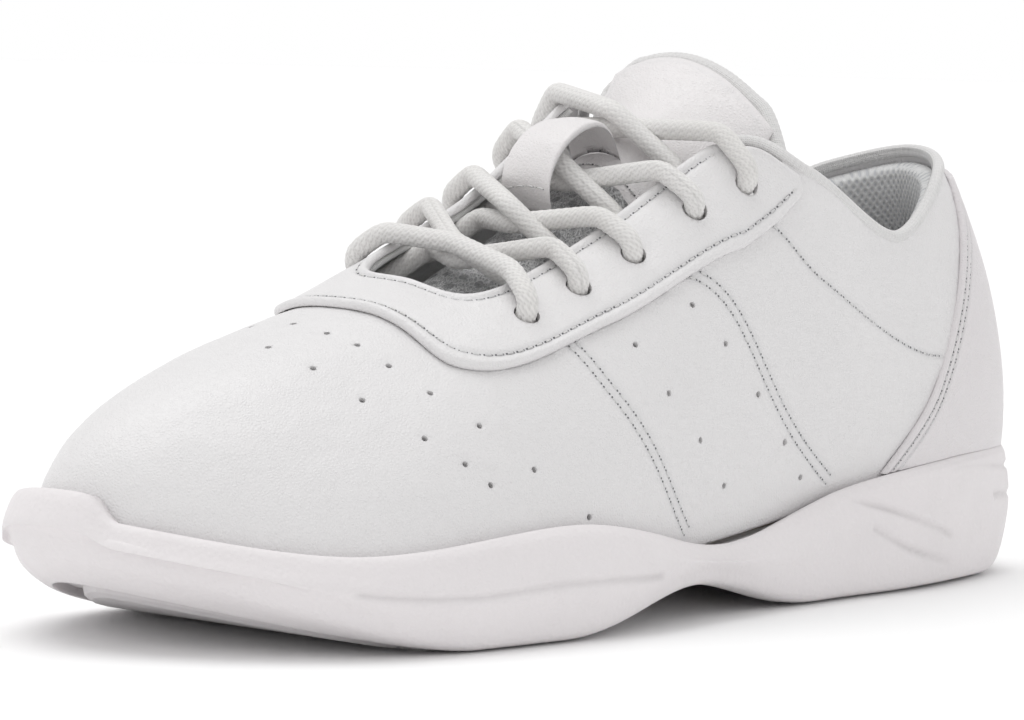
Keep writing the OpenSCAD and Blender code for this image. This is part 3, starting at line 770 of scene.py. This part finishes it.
def eyestay():
    """U-shaped facing: both edges folded and stitched, punched with the eyelets."""
    rows, cols = 560, 44
    span = 3.85
    u = np.linspace(TOE - span, TOE + span, rows)
    low, high = stay_w(u), stay_top(u)
    x = eased(cols)
    d = low[:, None] + (high - low)[:, None] * x
    from_low, from_high = low[:, None] - d, d - high[:, None]
    uu = np.broadcast_to(u[:, None], d.shape)
    v = v_down(uu, d)
    wide = smooth((low - 7) / 6)[:, None]
    trough = np.exp(-((from_low - 2.6) / 0.55) ** 2) * wide
    inner_trough = np.exp(-((from_high - 2.4) / 0.55) ** 2) * smooth((3.0 - abs(uu - TOE)) / 0.3) * wide
    piping = np.exp(-((from_low - 0.9) / 0.8) ** 2) + np.exp(-((from_high - 0.9) / 0.8) ** 2)
    p = skin(uu, v)
    centres, normals = eyes()
    ring = near(p, centres, 3.6)
    wave = soft_noise(p, 16.0, 21.0, 3)
    pucker = soft_noise(p * np.array([1, 0.6, 1]), 4.0, 31.0, 3) * near(p, centres, 8.0)
    height = 1.3 * fold(from_low, 1.0) * fold(from_high, 1.0)
    height += 0.18 * piping * wide - 0.4 * (trough + inner_trough) - 0.12 * ring + 0.16 * wave + 0.2 * pucker
    ends = smooth((span - abs(uu - TOE)) / 0.06)
    t = STAY_GAP + 0.1 + (height - 0.1) * (0.15 + 0.85 * ends)
    # marks: painted shade in the stitch troughs
    o = slab("eyestay_facing", skin_t(uu, v, t), skin_t(uu, v, STAY_GAP - 0.25),
             STAY_LEATHER, "shoe", marks=clamp01(0.7 * (trough + inner_trough)))
    cut(o, centres, normals, EYELET_R - 0.25, 6.0)
    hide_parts("eyestay")
    keep = low > 8
    for offset, edge, limit in ((2.6, "low", keep), (2.4, "high", keep & (abs(u - TOE) < 2.95))):
        down = low - offset if edge == "low" else high + offset
        line_u, line_v = u[limit], v_down(u[limit], down[limit])
        stitch_row(skin_t(line_u, line_v, STAY_GAP + 1.0), skin_n(line_u, line_v), lift=0.12)


def backing():
    """Fabric behind the eyelets."""
    rows = 300
    u = np.linspace(TOE - 2.95, TOE + 2.95, rows)
    d = 12.6 + (stay_top(u)[:, None] + 0.4 - 12.6) * eased(16)
    uu = np.broadcast_to(u[:, None], d.shape)
    v = v_down(uu, d)
    o = slab("eyestay_lining", skin_t(uu, v, 0.0), skin_t(uu, v, -BACKING_T), LINING, "shoe")
    cut(o, *eyes(), EYELET_R - 0.1, 6.0)
    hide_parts("eyestay_backing")


HEEL_ROWS = (2.2, 4.6)


def overlay_reach(f):
    return mix(2.6, 0.8, f)


def heel_overlay():
    rows, cols = 220, 90
    f = eased(cols)
    side = 2 * eased(rows) - 1
    u = side[:, None] * overlay_reach(f)
    v = mix(v_at_z(u, ring_at(RIM, u)[..., 0] + 0.2), 0.93, f)
    p = skin(u, v)
    girth = np.linalg.norm(skin(u + 0.5, v) - skin(u - 0.5, v), axis=-1)
    from_front = (1 - abs(side))[:, None] * overlay_reach(f) * girth
    from_top = (1 - f) * np.linalg.norm(p[:, -1] - p[:, 0], axis=-1)[:, None]
    near_row, far_row = (np.exp(-((from_front - inset) / 0.5) ** 2) for inset in HEEL_ROWS)
    trough = near_row + far_row
    height = 1.2 * fold(from_front, 0.9) * fold(from_top, 0.9) - 0.35 * trough
    height += 0.2 * soft_noise(p, 30.0, 41.0, 2)
    # marks: painted shade in the stitch troughs
    o = slab("heel_counter", skin_t(u, v, 0.15 + height), skin_t(u, v, 0.02), HEEL_LEATHER,
             "shoe", marks=clamp01(0.7 * trough))
    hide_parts("heel_overlay")
    for sign in (-1, 1):
        for inset in HEEL_ROWS:
            line_u = sign * (overlay_reach(f) - inset / girth[0])
            line_v = v[0 if sign < 0 else -1]
            part = slice(6, -6)
            points = skin_t(line_u[part], line_v[part], 1.15)
            stitch_row(points, skin_n(line_u[part], line_v[part]), lift=0.06)


# ---- collar ----
def collar_bulge(v):
    return COLLAR_PAD * np.maximum(0, np.sin(math.pi * clamp01((v - 0.5) / 0.52))) ** 0.8


def inflate(o, pinned, cap, pressure=4.0, frames=20):
    """Cloth simulation that swells a padded piece; pinned points stay, and no point moves more than cap."""
    scene = bpy.context.scene
    rest = np.array([v.co for v in o.data.vertices])
    group = o.vertex_groups.new(name="pinned")
    group.add([int(k) for k in np.nonzero(pinned)[0]], 1.0, "REPLACE")
    m = o.modifiers.new("swell", "CLOTH")
    m.settings.vertex_group_mass = "pinned"
    m.settings.use_pressure = True
    m.settings.uniform_pressure_force = pressure
    m.settings.effector_weights.gravity = 0
    m.point_cache.frame_start = 1
    m.point_cache.frame_end = frames
    for number in range(1, frames + 1):
        scene.frame_set(number)
    graph = bpy.context.evaluated_depsgraph_get()
    swollen = np.array([v.co for v in o.evaluated_get(graph).data.vertices])
    move = swollen - rest
    far = np.linalg.norm(move, axis=1, keepdims=True)
    move *= np.minimum(1, cap * MM / np.maximum(far, 1e-9))
    o.modifiers.remove(m)
    scene.frame_set(1)
    o.data.vertices.foreach_set("co", (rest + move).astype(np.float32).ravel())
    o.data.update()


def soften(o, levels=1):
    m = o.modifiers.new("soft", "SUBSURF")
    m.levels = m.render_levels = levels


BINDING_STEP = 0.42
BINDING_SIDES = 16
RIB_PITCH = 1.35


def binding(name, marks, radius, body):
    """Ribbed textile tube along an edge."""
    path, places = resample(marks, BINDING_STEP)
    ribs = 0.5 + 0.5 * np.cos(2 * math.pi * places / RIB_PITCH)
    radius = radius * (0.97 + 0.05 * ribs)[:, None] * np.ones(BINDING_SIDES)
    # painted shade between the ribs of the binding
    groove_shade = np.repeat(1 - ribs, BINDING_SIDES) * 0.5
    return tube(name, path, radius, BINDING_SIDES, RIBBED, body, places, groove_shade)


def collar():
    """Padded collar: mesh-faced foam inside the quarter, and the ribbed binding on its edge."""
    rows, cols = 150, 44
    u = np.linspace(-3.05, 3.05, rows)
    v = mix(0.05, v_down(u, 2.0)[:, None], np.linspace(0, 1, cols))
    uu = np.broadcast_to(u[:, None], v.shape)
    outer = skin_t(uu, v, -LEATHER_T - 0.35)
    inner = skin_t(uu, v, -LINING_OUT - 0.4 - collar_bulge(v) * 0.85)
    o = slab("collar_padding", outer, inner, SPACER, "shoe")
    n = rows * cols
    edge = np.zeros((rows, cols), bool)
    edge[:, :8] = edge[:, -2:] = True
    edge[:1] = edge[-1:] = True
    inflate(o, np.concatenate([np.ones(n, bool), edge.ravel()]), 1.2)
    soften(o)
    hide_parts("collar_foam", "collar_lining")
    u = np.linspace(-4, 4, 260)
    marks = skin_t(u, v_down(u, 0.2), -LEATHER_T / 2)
    o = binding("collar_edge_binding", marks, BINDING_R, "shoe")
    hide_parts("collar_binding")


def lining():
    rows, cols = 260, 40
    u = np.linspace(TOE - 3.9, TOE + 3.9, rows)
    top = v_down(u, 15) - 0.25 * (1 - throat(u))
    v = mix(0.03, top[:, None], np.linspace(0, 1, cols))
    uu = np.broadcast_to(u[:, None], v.shape)
    o = slab("forepart_lining", skin_t(uu, v, -LINING_OUT), skin_t(uu, v, -LINING_OUT - 0.8),
             LINING, "shoe")
    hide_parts("upper_lining")


# ---- tongue ----
def tongue():
    cols = 40
    f = 2 * eased(cols) - 1
    # open mesh face of the lower part
    p = np.linspace(0, CAP_P + 0.1, 120)[:, None] * np.ones(cols + 1)
    ff = np.broadcast_to(f, p.shape)
    at = tongue_p(p, ff, 0.0)
    wave = 0.25 * soft_noise(at, 9.0, 51.0, 3)
    o = slab("tongue_open_mesh", tongue_p(p, ff, wave - 0.1), tongue_p(p, ff, -1.0), OPEN_MESH, "tongue")
    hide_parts("tongue_mesh")
    # padding and lining behind the mesh
    p = np.linspace(0.05, TONGUE_END - 0.1, 130)[:, None] * np.ones(cols + 1)
    ff = np.broadcast_to(f, p.shape)
    round_edge = fold((1 - abs(ff)) * 18, 2.2)
    o = slab("tongue_padding", tongue_p(p, 0.97 * ff, -1.1 - 1.2 * (1 - round_edge)),
             tongue_p(p, 0.97 * ff, -TONGUE_T + 1.2 * (1 - round_edge)), SPACER, "tongue")
    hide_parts("tongue_foam", "tongue_lining")
    # padded leather top, swollen by cloth simulation
    rows = 46
    p = mix(CAP_P + 0.02, TONGUE_END + 0.12, eased(rows))[:, None] * np.ones(cols + 1)
    ff = np.broadcast_to(f, p.shape)
    from_side = (1 - abs(ff)) * 19
    from_end = np.minimum(p - CAP_P, TONGUE_END + 0.14 - p) * 12
    from_edge = np.minimum(from_side, from_end)
    swell = fold(from_edge, 3.5)
    at = tongue_p(p, ff, 0.0)
    outer = tongue_p(p, ff, -0.5 + 1.0 * swell + 0.14 * soft_noise(at, 8.0, 61.0, 3))
    inner = tongue_p(p, ff, -1.4)
    # marks: painted shade in the seam trough round the padded top
    o = slab("tongue_leather_top", outer, inner, TONGUE_LEATHER, "tongue",
             marks=clamp01(0.4 * np.exp(-((from_edge - 2.4) / 0.6) ** 2)))
    seam = (from_edge < 2.6).ravel()
    inflate(o, np.concatenate([seam, np.ones(p.size, bool)]), 1.3)
    soften(o)
    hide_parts("tongue_top")
    # stitch row along the lower seam of the top
    f_line = np.linspace(-0.9, 0.9, LINE_POINTS)
    place = np.full(LINE_POINTS, CAP_P + 0.12)
    points = tongue_p(place, f_line, 0.42)
    normals = unit(tongue_p(place, f_line, 1.0) - tongue_p(place, f_line, 0.0))
    stitch_row(points, normals, "tongue", lift=0.15)
    # ribbed binding round the tip
    up = np.linspace(5.2, TONGUE_END, 5)
    across = np.linspace(-0.85, 0.85, 10)
    mid_t = -TONGUE_T / 2
    marks = np.concatenate([tongue_p(up, -1.1, mid_t), tongue_p(TONGUE_END + 0.28, across, mid_t),
                            tongue_p(up[::-1], 1.1, mid_t)])
    o = binding("tongue_edge_binding", marks, 0.4 * TONGUE_T, "tongue")
    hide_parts("tongue_binding")


KEEPER_W, KEEPER_X = 13.0, -3.0
KEEPER_P = (2.78, 3.66)
KEEPER_RISE = 3.1 * LACE_D
KEEPER_POINTS = 30


def keeper_at(f, q, t):
    """Point of the lace keeper: f along it from 0 to 1, q across it from -0.5 to 0.5."""
    p = mix(*KEEPER_P, f)
    up = np.maximum(0, np.sin(math.pi * f)) ** 0.25
    low = tongue_mid(p, q * KEEPER_W + KEEPER_X)
    level = tongue_mid(p, 0 * q)
    level = level + np.stack([q * KEEPER_W + KEEPER_X, 0 * q, -2 * q * q], -1)
    n = tongue_p(p, 0 * q, 1.0) - tongue_p(p, 0 * q, 0.0)
    return mix(low, level, up[..., None]) + n * (0.6 + KEEPER_RISE * up + t)[..., None]


def keeper():
    """Leather strap over one pair of crossings, folded along both edges and stitched."""
    rows, cols = 90, 24
    f = eased(rows - 1)[:, None] * np.ones(cols + 1)
    q = np.broadcast_to(eased(cols) - 0.5, f.shape)
    from_edge = (0.5 - abs(q)) * KEEPER_W
    top = 0.9 + 0.4 * fold(from_edge, 0.6) + 0.15 * soft_noise(keeper_at(f, q, 0.0), 7.0, 81.0, 2)
    # marks: painted shade along the folded edges of the strap
    o = slab("lace_keeper_strap", keeper_at(f, q, 0.0), keeper_at(f, q, top), TONGUE_LEATHER, "tongue",
             marks=np.exp(-(from_edge / 0.25) ** 2))
    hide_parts("lace_keeper")
    q_line = np.linspace(-0.42, 0.42, KEEPER_POINTS)
    for sewn in (0.012, 0.988):
        f_line = np.full(KEEPER_POINTS, sewn)
        points = keeper_at(f_line, q_line, 1.25)
        normals = unit(keeper_at(f_line, q_line, 2.0) - keeper_at(f_line, q_line, 0.0))
        stitch_row(points, normals, "tongue", lift=0.1)


# ---- lace ----
LANE_OVER = STAY_GAP + LEATHER_T + 0.3 + LACE_R
LANE_UNDER = -BACKING_T - 0.6 - LACE_R
LACE_STEP = 0.36
LACE_BEND = 4.0
LACE_SIDES = 40
BRAID_LOBES, BRAID_PITCH = 10, 9.0


def lane(side, k, d, t, turn=0.0):
    w = eye_u(0, k) + turn
    u = np.array(w if side == 0 else AROUND - w)
    return skin_t(u, v_down(u, d), np.array(t))


def eye_in(side, k):
    return [lane(side, k, 0.8, LANE_OVER + 0.4, 0.075), lane(side, k, EYELET_DOWN - 2, LANE_OVER, 0.02),
            lane(side, k, EYELET_DOWN - 0.2, LANE_OVER - 1.5), lane(side, k, EYELET_DOWN, 0.2)]


def eye_out(side, k):
    return [lane(side, k, EYELET_DOWN - 0.2, LANE_UNDER + 1.6),
            lane(side, k, EYELET_DOWN - 1.6, LANE_UNDER, -0.02),
            lane(side, k, -2.5, LANE_UNDER + 1.1, -0.12)]


def eye_s(k):
    centres, _ = eyes()
    return HEEL_Y - (centres[k - 1][1] + centres[k + 4][1]) / 2


def crossing(side, k):
    """Where the two runs between eyelets k and k + 1 pass over the middle of the tongue."""
    wanted = (eye_s(k) + eye_s(k + 1)) / 2
    places = np.linspace(0, TONGUE_END, 601)
    p = places[np.abs(row_at(TONGUE, places)[:, 0] - wanted).argmin()]
    return tongue_p(p, 0.0, 1.4 + LACE_R + (LACE_D + 0.3 if side == 0 else 0))


def lace_end(side):
    points = [lane(side, 5, EYELET_DOWN + 0.6, LANE_UNDER)]
    for f in (0, 0.5, 1):
        w = eye_u(0, 5) + mix(0.1, 1.1, f)
        u = np.array(w if side == 0 else AROUND - w)
        points.append(skin_t(u, np.array(mix(0.62, 0.42, f)), np.array(-LINING_OUT - 3.4 - LACE_R)))
    return points


def chain(side):
    points = []
    for k in range(1, 6):
        a = side if k % 2 == 1 else 1 - side
        points += eye_in(a, k)
        points += lace_end(a) if k == 5 else eye_out(a, k) + [crossing(a, k)]
    return points


def lace():
    """One round braided lace along its whole route, hidden end to hidden end."""
    bar = (lane(0, 1, 2, LANE_OVER + 0.6) + lane(1, 1, 2, LANE_OVER + 0.6)) / 2 + np.array([0, 0, 1.2])
    marks = np.array(chain(1)[::-1] + [bar] + chain(0))
    run = run_along(marks)
    places = np.linspace(0, run[-1], round(run[-1] / LACE_STEP))
    path = read_at(places, run, marks)
    half = round(LACE_BEND / LACE_STEP)
    window = np.exp(-np.linspace(-1.8, 1.8, 2 * half + 1) ** 2)
    window /= window.sum()
    padded = np.pad(path, ((half, half), (0, 0)), "edge")
    path = np.stack([np.convolve(padded[:, k], window, "valid") for k in range(3)], -1)
    a = circle(LACE_SIDES)[None, :]
    turns = BRAID_LOBES * a / (2 * math.pi)
    lay = BRAID_LOBES * places[:, None] / BRAID_PITCH
    one, two = turns + lay, turns - lay
    over = (np.floor(one) + np.floor(two)) % 2 < 0.5
    strand = np.where(over, np.sin(math.pi * one) ** 2, np.sin(math.pi * two) ** 2) ** 0.5
    radius = LACE_R * (0.87 + 0.16 * strand)
    # marks: painted shade between the braid strands
    o = tube("lace_braided", path, radius, LACE_SIDES, LACE, "shoe", places, clamp01(1.0 - 1.25 * strand))
    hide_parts("lace")


# ---- sole ----
def toe_part(u):
    return smooth((1.5 - abs(u - TOE)) / 1.2)


def heel_part(u):
    return smooth((2.6 - (TOE - abs(u - TOE))) / 1.8)


def wall(u):
    return WALL_OUT - 2 * heel_part(u)


def bumper(u):
    return 4.5 * smooth((0.42 - abs(u - TOE - 0.15)) / 0.16)


def rim_z(u):
    return ring_at(RIM, u)[..., 0] + bumper(u)


def sole_p(u, out):
    out = np.asarray(out, float)
    return base_at(u) + out_at(u) * (out[..., None] if out.ndim else out)


def with_z(p, z):
    return np.stack([p[..., 0], p[..., 1], z + 0 * p[..., 0]], -1)


def on_ground(u, out, up):
    p = sole_p(u, out)
    return with_z(p, ground_z(HEEL_Y - p[..., 1]) + up)


def on_bed(u, out, up):
    p = sole_p(u, out)
    return with_z(p, bed_z(HEEL_Y - p[..., 1]) + up)


def sole_levels(u):
    """Rings of the sole cup from its underside over the rim to the foot bed."""
    w, t, rim = wall(u), toe_part(u), rim_z(u)
    v = v_at_z(u, rim)
    stand = ((skin(u, v) - base_at(u)) * out_at(u)).sum(-1)
    rings = [on_ground(u, w - inset, up + more * t)
             for inset, up, more in ((9, OUTSOLE_T, 0), (8.6, 0.7, 0), (3, 1.2, 3), (0.8, 4, 5))]
    p = on_ground(u, w + 0.6, OUTSOLE_T)
    rings.append(with_z(p, mix(p[..., 2], rim, 0.5)))
    for inset, least, down in ((0.4, 2.4, 3), (1.6, 1.7, 0.7), (3, 0.9, 0)):
        rings.append(with_z(sole_p(u, np.maximum(w - inset, stand + least)), rim - down))
    low = v_at_z(u, rim - 1)
    rings.append(skin_t(u, low, np.full(u.shape, 0.35)))
    rings.append(skin_t(u, low / 2, np.full(u.shape, 0.5)))
    rings.append(on_bed(u, 0.5, 0.4))
    return rings


# Moulded lines of the outer wall, as (u, share of the height from ground to rim): the long step of the
# forefoot and the sweeping grooves of the heel.
STEP_LINE = [(5.98, 0.49), (5.54, 0.48), (4.98, 0.48), (4.60, 0.38)]
HEEL_LINES = [
    [(3.00, 0.91), (2.42, 0.56), (2.08, 0.37)],
    [(2.82, 0.58), (2.50, 0.32), (2.06, 0.11)],
    [(2.04, 0.93), (1.72, 0.91), (0.84, 0.78)],
    [(1.50, 0.63), (1.22, 0.59), (0.70, 0.45)]]
LINE_HALF = 0.65
GROOVE_POINTS, STEP_POINTS = 120, 180


def wall_point(u, share):
    """Point of the outer wall at a share of its height."""
    low = on_ground(u, wall(u) + 0.2, OUTSOLE_T)
    return with_z(low, mix(low[..., 2], rim_z(u), share))


def sole():
    rows = 900
    u = np.arange(rows) * AROUND / rows
    rings = np.array(sole_levels(u))
    outer = row_at(rings.reshape(len(rings), -1), np.linspace(0, 7, 99))
    levels = np.concatenate([outer, rings[8:].reshape(3, -1)]).reshape(-1, rows, 3).transpose(1, 0, 2)
    n = unit(np.cross(np.gradient(levels, axis=1), np.gradient(levels, axis=0)))
    out = np.zeros(levels.shape[:2])
    for marks in (HEEL_LINES + [mirrored(m) for m in HEEL_LINES]):
        a, b = uv_line(marks, GROOVE_POINTS)
        ends = smooth((1 - abs(np.linspace(-1, 1, GROOVE_POINTS))) / 0.1)
        points = wall_point(a, b)
        out = np.maximum(out, near(levels, points[ends > 0.3], LINE_HALF))
    step = np.zeros(levels.shape[:2])
    for marks in (STEP_LINE, mirrored(STEP_LINE)):
        a, b = uv_line(marks, STEP_POINTS)
        out = np.maximum(out, near(levels, wall_point(a, b), LINE_HALF))
        step = np.maximum(step, near(levels, wall_point(a, b - 0.08), 2.4))
    visible = np.zeros(levels.shape[:2])
    visible[:, 18:94] = 1
    ripple = 0.25 * soft_noise(levels, 26.0, 71.0, 2)
    levels = levels + n * ((-0.85 * out + 0.45 * step + ripple) * visible)[..., None]
    m = levels.shape[1]
    half = rows // 2
    faces = [quads(rows, m, 0, wrap_n=True)]
    points = [levels.reshape(-1, 3)]
    start = rows * m
    across = 24
    for ring, flip in ((0, True), (m - 1, False)):
        a = levels[:half + 1, ring]
        b = np.concatenate([levels[:1, ring], levels[:half - 1:-1, ring]])
        grid = a[:, None] + (b - a)[:, None] * np.linspace(0, 1, across)[:, None]
        points.append(grid.reshape(-1, 3))
        faces.append(quads(half + 1, across, start, flip=flip))
        start += grid.shape[0] * across
    # marks: painted shade in the moulded grooves of the wall
    marks = np.concatenate([(0.8 * out * visible).ravel(), np.zeros(start - rows * m)])
    o = add_mesh("sole_cup", np.concatenate(points), np.concatenate(faces), FOAM, "shoe", marks=marks)
    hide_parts("midsole")


def carried():
    """CAD nodes that keep their shape and take a detailed look."""
    looks = {
        "outsole_forefoot": RUBBER, "outsole_heel": RUBBER,
        "shank": plain("spring_steel", (0.55, 0.56, 0.58), 0.35, 1.0, 2.0),
        "insole_board": plain("fibre_board", (0.58, 0.50, 0.38), 0.85),
        "sock_liner": LINER,
        "heel_stiffener": plain("stiffener_sheet", (0.55, 0.52, 0.46), 0.7),
        "toe_puff": plain("toe_puff_sheet", (0.56, 0.53, 0.48), 0.7),
        "saddle_band_outer": leather("band_leather", (0.72, 0.71, 0.69), 0.6),
        "saddle_band_inner": leather("band_leather_inner", (0.72, 0.71, 0.69), 0.6),
        "aglets": plain("aglet_film", (0.82, 0.85, 0.88), 0.2, alpha=0.6)}
    for name, look in looks.items():
        o = NODES[name]
        o.data.materials.clear()
        o.data.materials.append(look)
        if name.startswith("outsole"):
            m = o.modifiers.new("edge", "BEVEL")
            m.width = 0.35 * MM
            m.segments = 2
            m.limit_method = "ANGLE"


# ---- camera, light and floor ----
CAM_AZIMUTH, CAM_ELEVATION, CAM_ROLL = 42.48, 4.35, 1.29
CAM_DISTANCE = 979.4
CAM_TARGET = (31.7, -47.8, 53.3)
CAM_LENS = 179.7
FLOOR_SIZE = 12.0
RING_R, RING_H, RING_SIDES = 5.5, 1.0, 64
WORLD_LIGHT = 0.75
SUN_FROM = (-0.25, -0.05, 0.97)
SUN_LIGHT = 1.15
SUN_ANGLE = 50.0


def camera():
    a, e, r = (math.radians(x) for x in (CAM_AZIMUTH, CAM_ELEVATION, CAM_ROLL))
    back = Vector((math.sin(a) * math.cos(e), -math.cos(a) * math.cos(e), math.sin(e)))
    right = (-back).cross(Vector((0, 0, 1))).normalized()
    up = right.cross(-back)
    across = right * math.cos(r) + up * math.sin(r)
    above = up * math.cos(r) - right * math.sin(r)
    turn = Matrix((across, above, back)).transposed().to_4x4()
    data = bpy.data.cameras.new("camera")
    data.lens = CAM_LENS
    data.clip_start, data.clip_end = 0.05, 50
    o = linked("camera", data)
    o.matrix_world = Matrix.Translation((Vector(CAM_TARGET) + back * CAM_DISTANCE) * MM) @ turn
    bpy.context.scene.camera = o


def sun():
    """One very soft light from above and behind."""
    data = bpy.data.lights.new("sun", "SUN")
    data.energy = SUN_LIGHT
    data.angle = math.radians(SUN_ANGLE)
    o = linked("sun", data)
    o.rotation_mode = "QUATERNION"
    o.rotation_quaternion = Vector(SUN_FROM).to_track_quat("Z", "Y")


def stage_mesh(name, points, faces, look):
    mesh = bpy.data.meshes.new(name)
    mesh.from_pydata(points, [], faces)
    mesh.materials.append(look)
    o = linked(name, mesh)
    return o


def studio():
    scene = bpy.context.scene
    scene.view_settings.view_transform = "Standard"
    world = bpy.data.worlds.new("world")
    world.use_nodes = True
    sky = world.node_tree.nodes["Background"].inputs
    sky["Color"].default_value = (1.0, 1.0, 1.0, 1.0)
    sky["Strength"].default_value = WORLD_LIGHT
    scene.world = world
    look = Look("floor_paint", roughness=0.9, specular=0.2)
    look.done((0.97, 0.97, 0.97))
    half = FLOOR_SIZE / 2
    corners = [(-half, -half, 0), (half, -half, 0), (half, half, 0), (-half, half, 0)]
    stage_mesh("floor", corners, [(0, 1, 2, 3)], look.material)
    glow = Look("backdrop_paint", roughness=1.0, specular=0.0)
    glow.put(glow.shader, "Emission Color", (1.0, 1.0, 1.0))
    glow.put(glow.shader, "Emission Strength", 1.0)
    glow.done((0.0, 0.0, 0.0))
    turns = [2 * math.pi * k / RING_SIDES for k in range(RING_SIDES)]
    ring = [(RING_R * math.cos(a), RING_R * math.sin(a), z) for z in (0, RING_H) for a in turns]
    walls = [(k, (k + 1) % RING_SIDES, RING_SIDES + (k + 1) % RING_SIDES, RING_SIDES + k)
             for k in range(RING_SIDES)]
    wall = stage_mesh("backdrop", ring, walls, glow.material)
    wall.visible_shadow = False
    wall.visible_diffuse = False
    sun()


camera()
studio()
upper()
eyestay()
backing()
heel_overlay()
collar()
lining()
tongue()
keeper()
lace()
sole()
carried()
finish_stitches()
